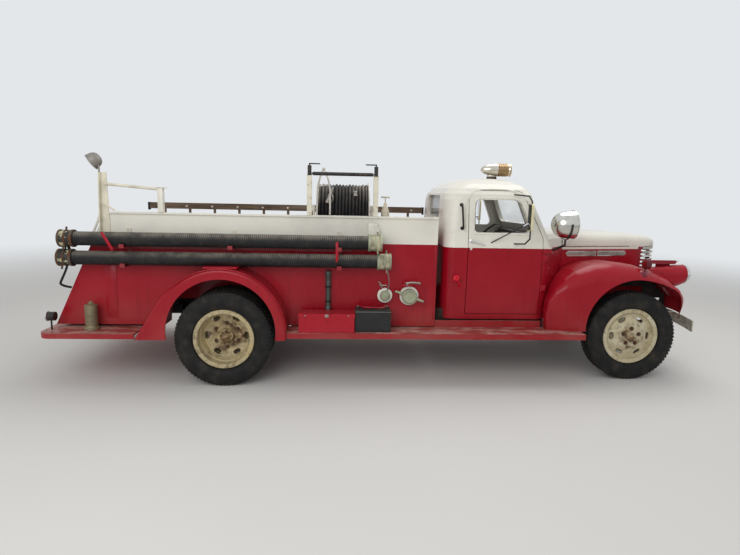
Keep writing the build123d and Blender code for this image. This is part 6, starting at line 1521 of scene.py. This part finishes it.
# first x, last x, lowest z, highest z
SEAMS = ((-2.734, -2.622, 0.6, 1.14), (0.449, 0.471, 0.6, 1.34))
BOLT_ROWS = (
    # first x, last x, z, bolts
    (-0.92, 0.42, 0.565, 10),
    (-0.95, 0.42, 1.335, 9),
    (-2.58, -2.4, 0.66, 3),
)
for side, word in SIDES:
    panel = f"body_side_{word}"
    low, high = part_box(panel)
    skin = on_side((panel,), -0.7, 1.45 if side < 0 else 1.4, side).y
    rails, seams, bolts = bmesh.new(), bmesh.new(), bmesh.new()
    rod(rails, [(x, skin, high.z - 0.004) for x in (low.x + 0.52, -1.2, high.x - 0.004)], 0.007)
    for x_low, x_high, z_low, z_high in SEAMS:
        inner, outer = sorted((skin, skin + side * 0.004))
        block(seams, (x_low, inner, z_low), (x_high, outer, z_high), 0.0015)
    for first, last, z, count in BOLT_ROWS:
        for number in range(count):
            turned(bolts, BOLT, (first + (last - first) * number / (count - 1), skin, z), (0, side, 0), 14)
    for step in range(6):
        turned(bolts, BOLT, (0.46, skin + side * 0.003, 0.63 + step * 0.125), (0, side, 0), 14)
    piece(f"body_rail_{word}", rails, "cream paint")
    piece(f"body_seams_{word}", seams, "red paint")
    piece(f"body_bolts_{word}", bolts, "red paint")
print("body rails, seams and bolts")

# %% [markdown]
# The running boards and fenders have beaded edges, which are rods along the CAD panels' rims. The fender bead
# follows an arc, so its points come from the wheel arch's circle.

# %% Fender and board beads
REAR_ARCH, REAR_FENDER_R = vec(-1.585, -1.0885, 0.528), 0.605
shape = bmesh.new()
rod(shape, [REAR_ARCH + REAR_FENDER_R * vec(cos(radians(a)), 0, sin(radians(a))) for a in range(4, 150, 12)], 0.006)
piece("rear_fender_beads", twice(shape), "red paint")
shape = bmesh.new()
board_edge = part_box("running_boards")[0].y + 0.003
rod(shape, [(x, board_edge, 0.518) for x in (-0.94, 0.0, 1.0, 1.9)], 0.0055)
piece("board_beads", twice(shape), "worn red")
print("beads")

# %% [markdown]
# The hand rail's front post is a square steel sleeve with a cap plate over the round rail, and a bar braces the
# tall rear post. They are blocks and a bar between measured points.

# %% Rail post sleeve and rear brace
shape = bmesh.new()
block(shape, (-2.198, -0.832, 1.6225), (-2.146, -0.78, 1.852), 0.004)
block(shape, (-2.206, -0.838, 1.852), (-2.118, -0.774, 1.858), 0.002)
bar(shape, (-2.736, -0.765, 1.635), (-2.838, -0.765, 1.4), 0.012)
piece("rail_post_sleeve", shape, "rusty cream")
print("rail post")

# %% [markdown]
# Seen from the side, the front fender's nose is fuller than the CAD loft, and the lamp pod on it is slimmer. Both
# pieces here are copies of CAD nodes, and the fenders' copy gets finer triangles. The nose is moved forward and
# the pod drawn in towards the lamp's axis, by amounts that fade out, so the rest stays where the CAD has it.

# %% Front fenders with a fuller nose, and slimmer lamp pods
NOSE_PUSH, POD_LENGTH, POD_WIDTH, POD_DROP = 0.112, 0.855, 0.88, 0.66


def faded(value, low, high):
    """A smooth step from 0 at low to 1 at high."""
    t = min(max((value - low) / (high - low), 0.0), 1.0)
    return t * t * (3 - 2 * t)


def off_pod(point):
    """How far a point lies from the lamp's axis."""
    return sqrt((abs(point.y) - POD_AXIS.y) ** 2 + (point.z - POD_AXIS.z) ** 2)


def slimmer(point, share):
    """Draws a point of the pod in towards the lamp's axis, more so under it and behind the lamp."""
    side = 1 if point.y > 0 else -1
    drop = POD_DROP + (POD_WIDTH - POD_DROP) * faded(point.x, 2.95, 3.16)
    tall = POD_WIDTH if point.z > POD_AXIS.z else drop
    goal = vec(
        POD_AXIS.x + (point.x - POD_AXIS.x) * POD_LENGTH,
        side * (POD_AXIS.y + (abs(point.y) - POD_AXIS.y) * POD_WIDTH),
        POD_AXIS.z + (point.z - POD_AXIS.z) * tall,
    )  # fmt: skip
    return point.lerp(goal, share)


shape = copy_of("front_fenders")
for longest in (0.2, 0.1, 0.05):
    long_edges = [edge for edge in shape.edges if edge.calc_length() > longest and min(v.co.x for v in edge.verts) > 2.4]
    bmesh.ops.subdivide_edges(shape, edges=long_edges, cuts=1)
    bmesh.ops.triangulate(shape, faces=shape.faces)
for vert in shape.verts:
    x, z = vert.co.x, vert.co.z
    pod = faded(x, 2.74, 2.9) * (1.0 - faded(off_pod(vert.co), 0.225, 0.27))
    share = faded(x, 2.5, 2.86) * faded(z, 0.6, 0.97) * (1.0 - faded(z, 1.0, 1.2)) * (1.0 - pod)
    vert.co = slimmer(vert.co, pod) + vec(NOSE_PUSH * share, 0, 0)
fender = piece("front_fender_shells", shape, "red paint", smooth=40)
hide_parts("front_fenders")

shape = copy_of("headlights")
for vert in shape.verts:
    if off_pod(vert.co) < 0.122:
        vert.co = slimmer(vert.co, 1.0)
lights = piece("headlight_units", shape, "headlights", smooth=30)
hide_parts("headlights")
BEZEL = ((0.097, -0.006), (0.1005, -0.004), (0.102, 0.006), (0.0995, 0.018), (0.0925, 0.027), (0.0845, 0.029),
         (0.0835, 0.02), (0.09, 0.0))  # fmt: skip
shape = bmesh.new()
for side in (-1, 1):
    turned(shape, BEZEL, (3.1085, side * POD_AXIS.y, POD_AXIS.z), (1, 0, 0), 56, closed=True)
piece("headlight_bezels", shape, "chrome", smooth=40)
for made in (fender, lights):
    print(made.name, len(made.data.polygons), "faces, front at", round(max(v.co.x for v in made.data.vertices), 3))

# %% [markdown]
# Behind the wheel the arch is closed by a dark inner liner, so that no daylight shows over the tyre. It stays
# inside the circle that the steered tyre sweeps, so it is a row of strips above and ahead of the tyre. A ray
# down onto the fender's new shell tells how tall each strip may be.

# %% Wheel arch liners
LINER_STRIPS, LINER_FROM, LINER_PITCH, LINER_Y, LINER_HALF = 21, 1.95, 0.05, 0.543, 0.003
skin = fender.data
fender_tree = BVHTree.FromPolygons([vert.co for vert in skin.vertices], [face.vertices[:] for face in skin.polygons])
shape = bmesh.new()
for step in range(LINER_STRIPS):
    x = LINER_FROM + step * LINER_PITCH
    low = 0.925 if x < 2.72 else 0.8 if x < 2.92 else 0.64
    tops = [fender_tree.ray_cast(vec(at, -LINER_Y, 2.0), vec(0, 0, -1))[0] for at in (x, x + LINER_PITCH)]
    if None not in tops and min(top.z for top in tops) > low + 0.05:
        high = min(top.z for top in tops) - 0.03
        block(shape, (x, -LINER_Y - LINER_HALF, low), (x + LINER_PITCH, -LINER_Y + LINER_HALF, high))
strips = len(shape.faces) // 6
piece("wheel_arch_liners", twice(shape), "underbody")
print("liners of", strips, "strips")

# %% [markdown]
# The photograph doesn't show the rear panel or the bed's floor, so they are finished as on engines of this type:
# a hatch with a bead round it, two hinges and a ring handle on the sloping panel, and hardwood slats on the bed,
# which let wet hose dry. The panel slopes, so a ray from behind finds each point of the bead.

# %% Rear hatch and bed slats
HATCH_HALF, HATCH_LOW, HATCH_HIGH, SLAT_PITCH, SLAT_HALF = 0.46, 0.62, 1.06, 0.125, 0.049
HATCH_PLATE = ((0, 0.008), (0.03, 0.007), (0.036, 0.002), (0.036, -0.006), (0, -0.006))


def on_tail(y, z, proud=0.0):
    """The point of the sloping rear panel at this height, moved out by a distance."""
    return surface_at(("hose_bed", "body_side_right", "body_side_left"), (-5.0, y, z), (1, 0, 0))[0] - vec(proud, 0, 0)


corners = ((-HATCH_HALF, HATCH_LOW), (HATCH_HALF, HATCH_LOW), (HATCH_HALF, HATCH_HIGH), (-HATCH_HALF, HATCH_HIGH))
corners = [on_tail(y, z, 0.001) for y, z in corners]
shape = bmesh.new()
for corner, after in zip(corners, corners[1:] + corners[:1]):
    bar(shape, corner, after, 0.006, 10)
    ball(shape, corner, 0.006)
for y in (-0.28, 0.28):
    bar(shape, *near(on_tail(y, HATCH_LOW - 0.004, 0.008), (0, -0.035, 0), (0, 0.035, 0)), 0.009)
piece("rear_hatch_bead", shape, "red paint")
shape = bmesh.new()
centre = on_tail(0.0, 0.98)
turned(shape, HATCH_PLATE, centre, (-1, 0, 0.25), 32)
rod(shape, [centre + vec(-0.014, 0.024 * cos(radians(a)), 0.024 * sin(radians(a)) - 0.016) for a in range(0, 420, 30)], 0.004)
for y in (-0.62, 0.62):
    low, high, out = on_tail(y, 0.7), on_tail(y, 1.0), vec(-0.042, 0, 0.018)
    bend = (high - low) * 0.08
    rod(shape, (low, low + out, low + out + bend, high + out - bend, high + out, high), 0.01)
piece("rear_handles", shape, "steel")
shape = bmesh.new()
for row in range(-5, 6):
    y = row * SLAT_PITCH
    block(shape, (-2.56, y - SLAT_HALF, 1.1502), (-0.86, y + SLAT_HALF, 1.168), 0.003)
piece("bed_slats", shape, "ladder timber")
print("rear hatch, handles and slats")
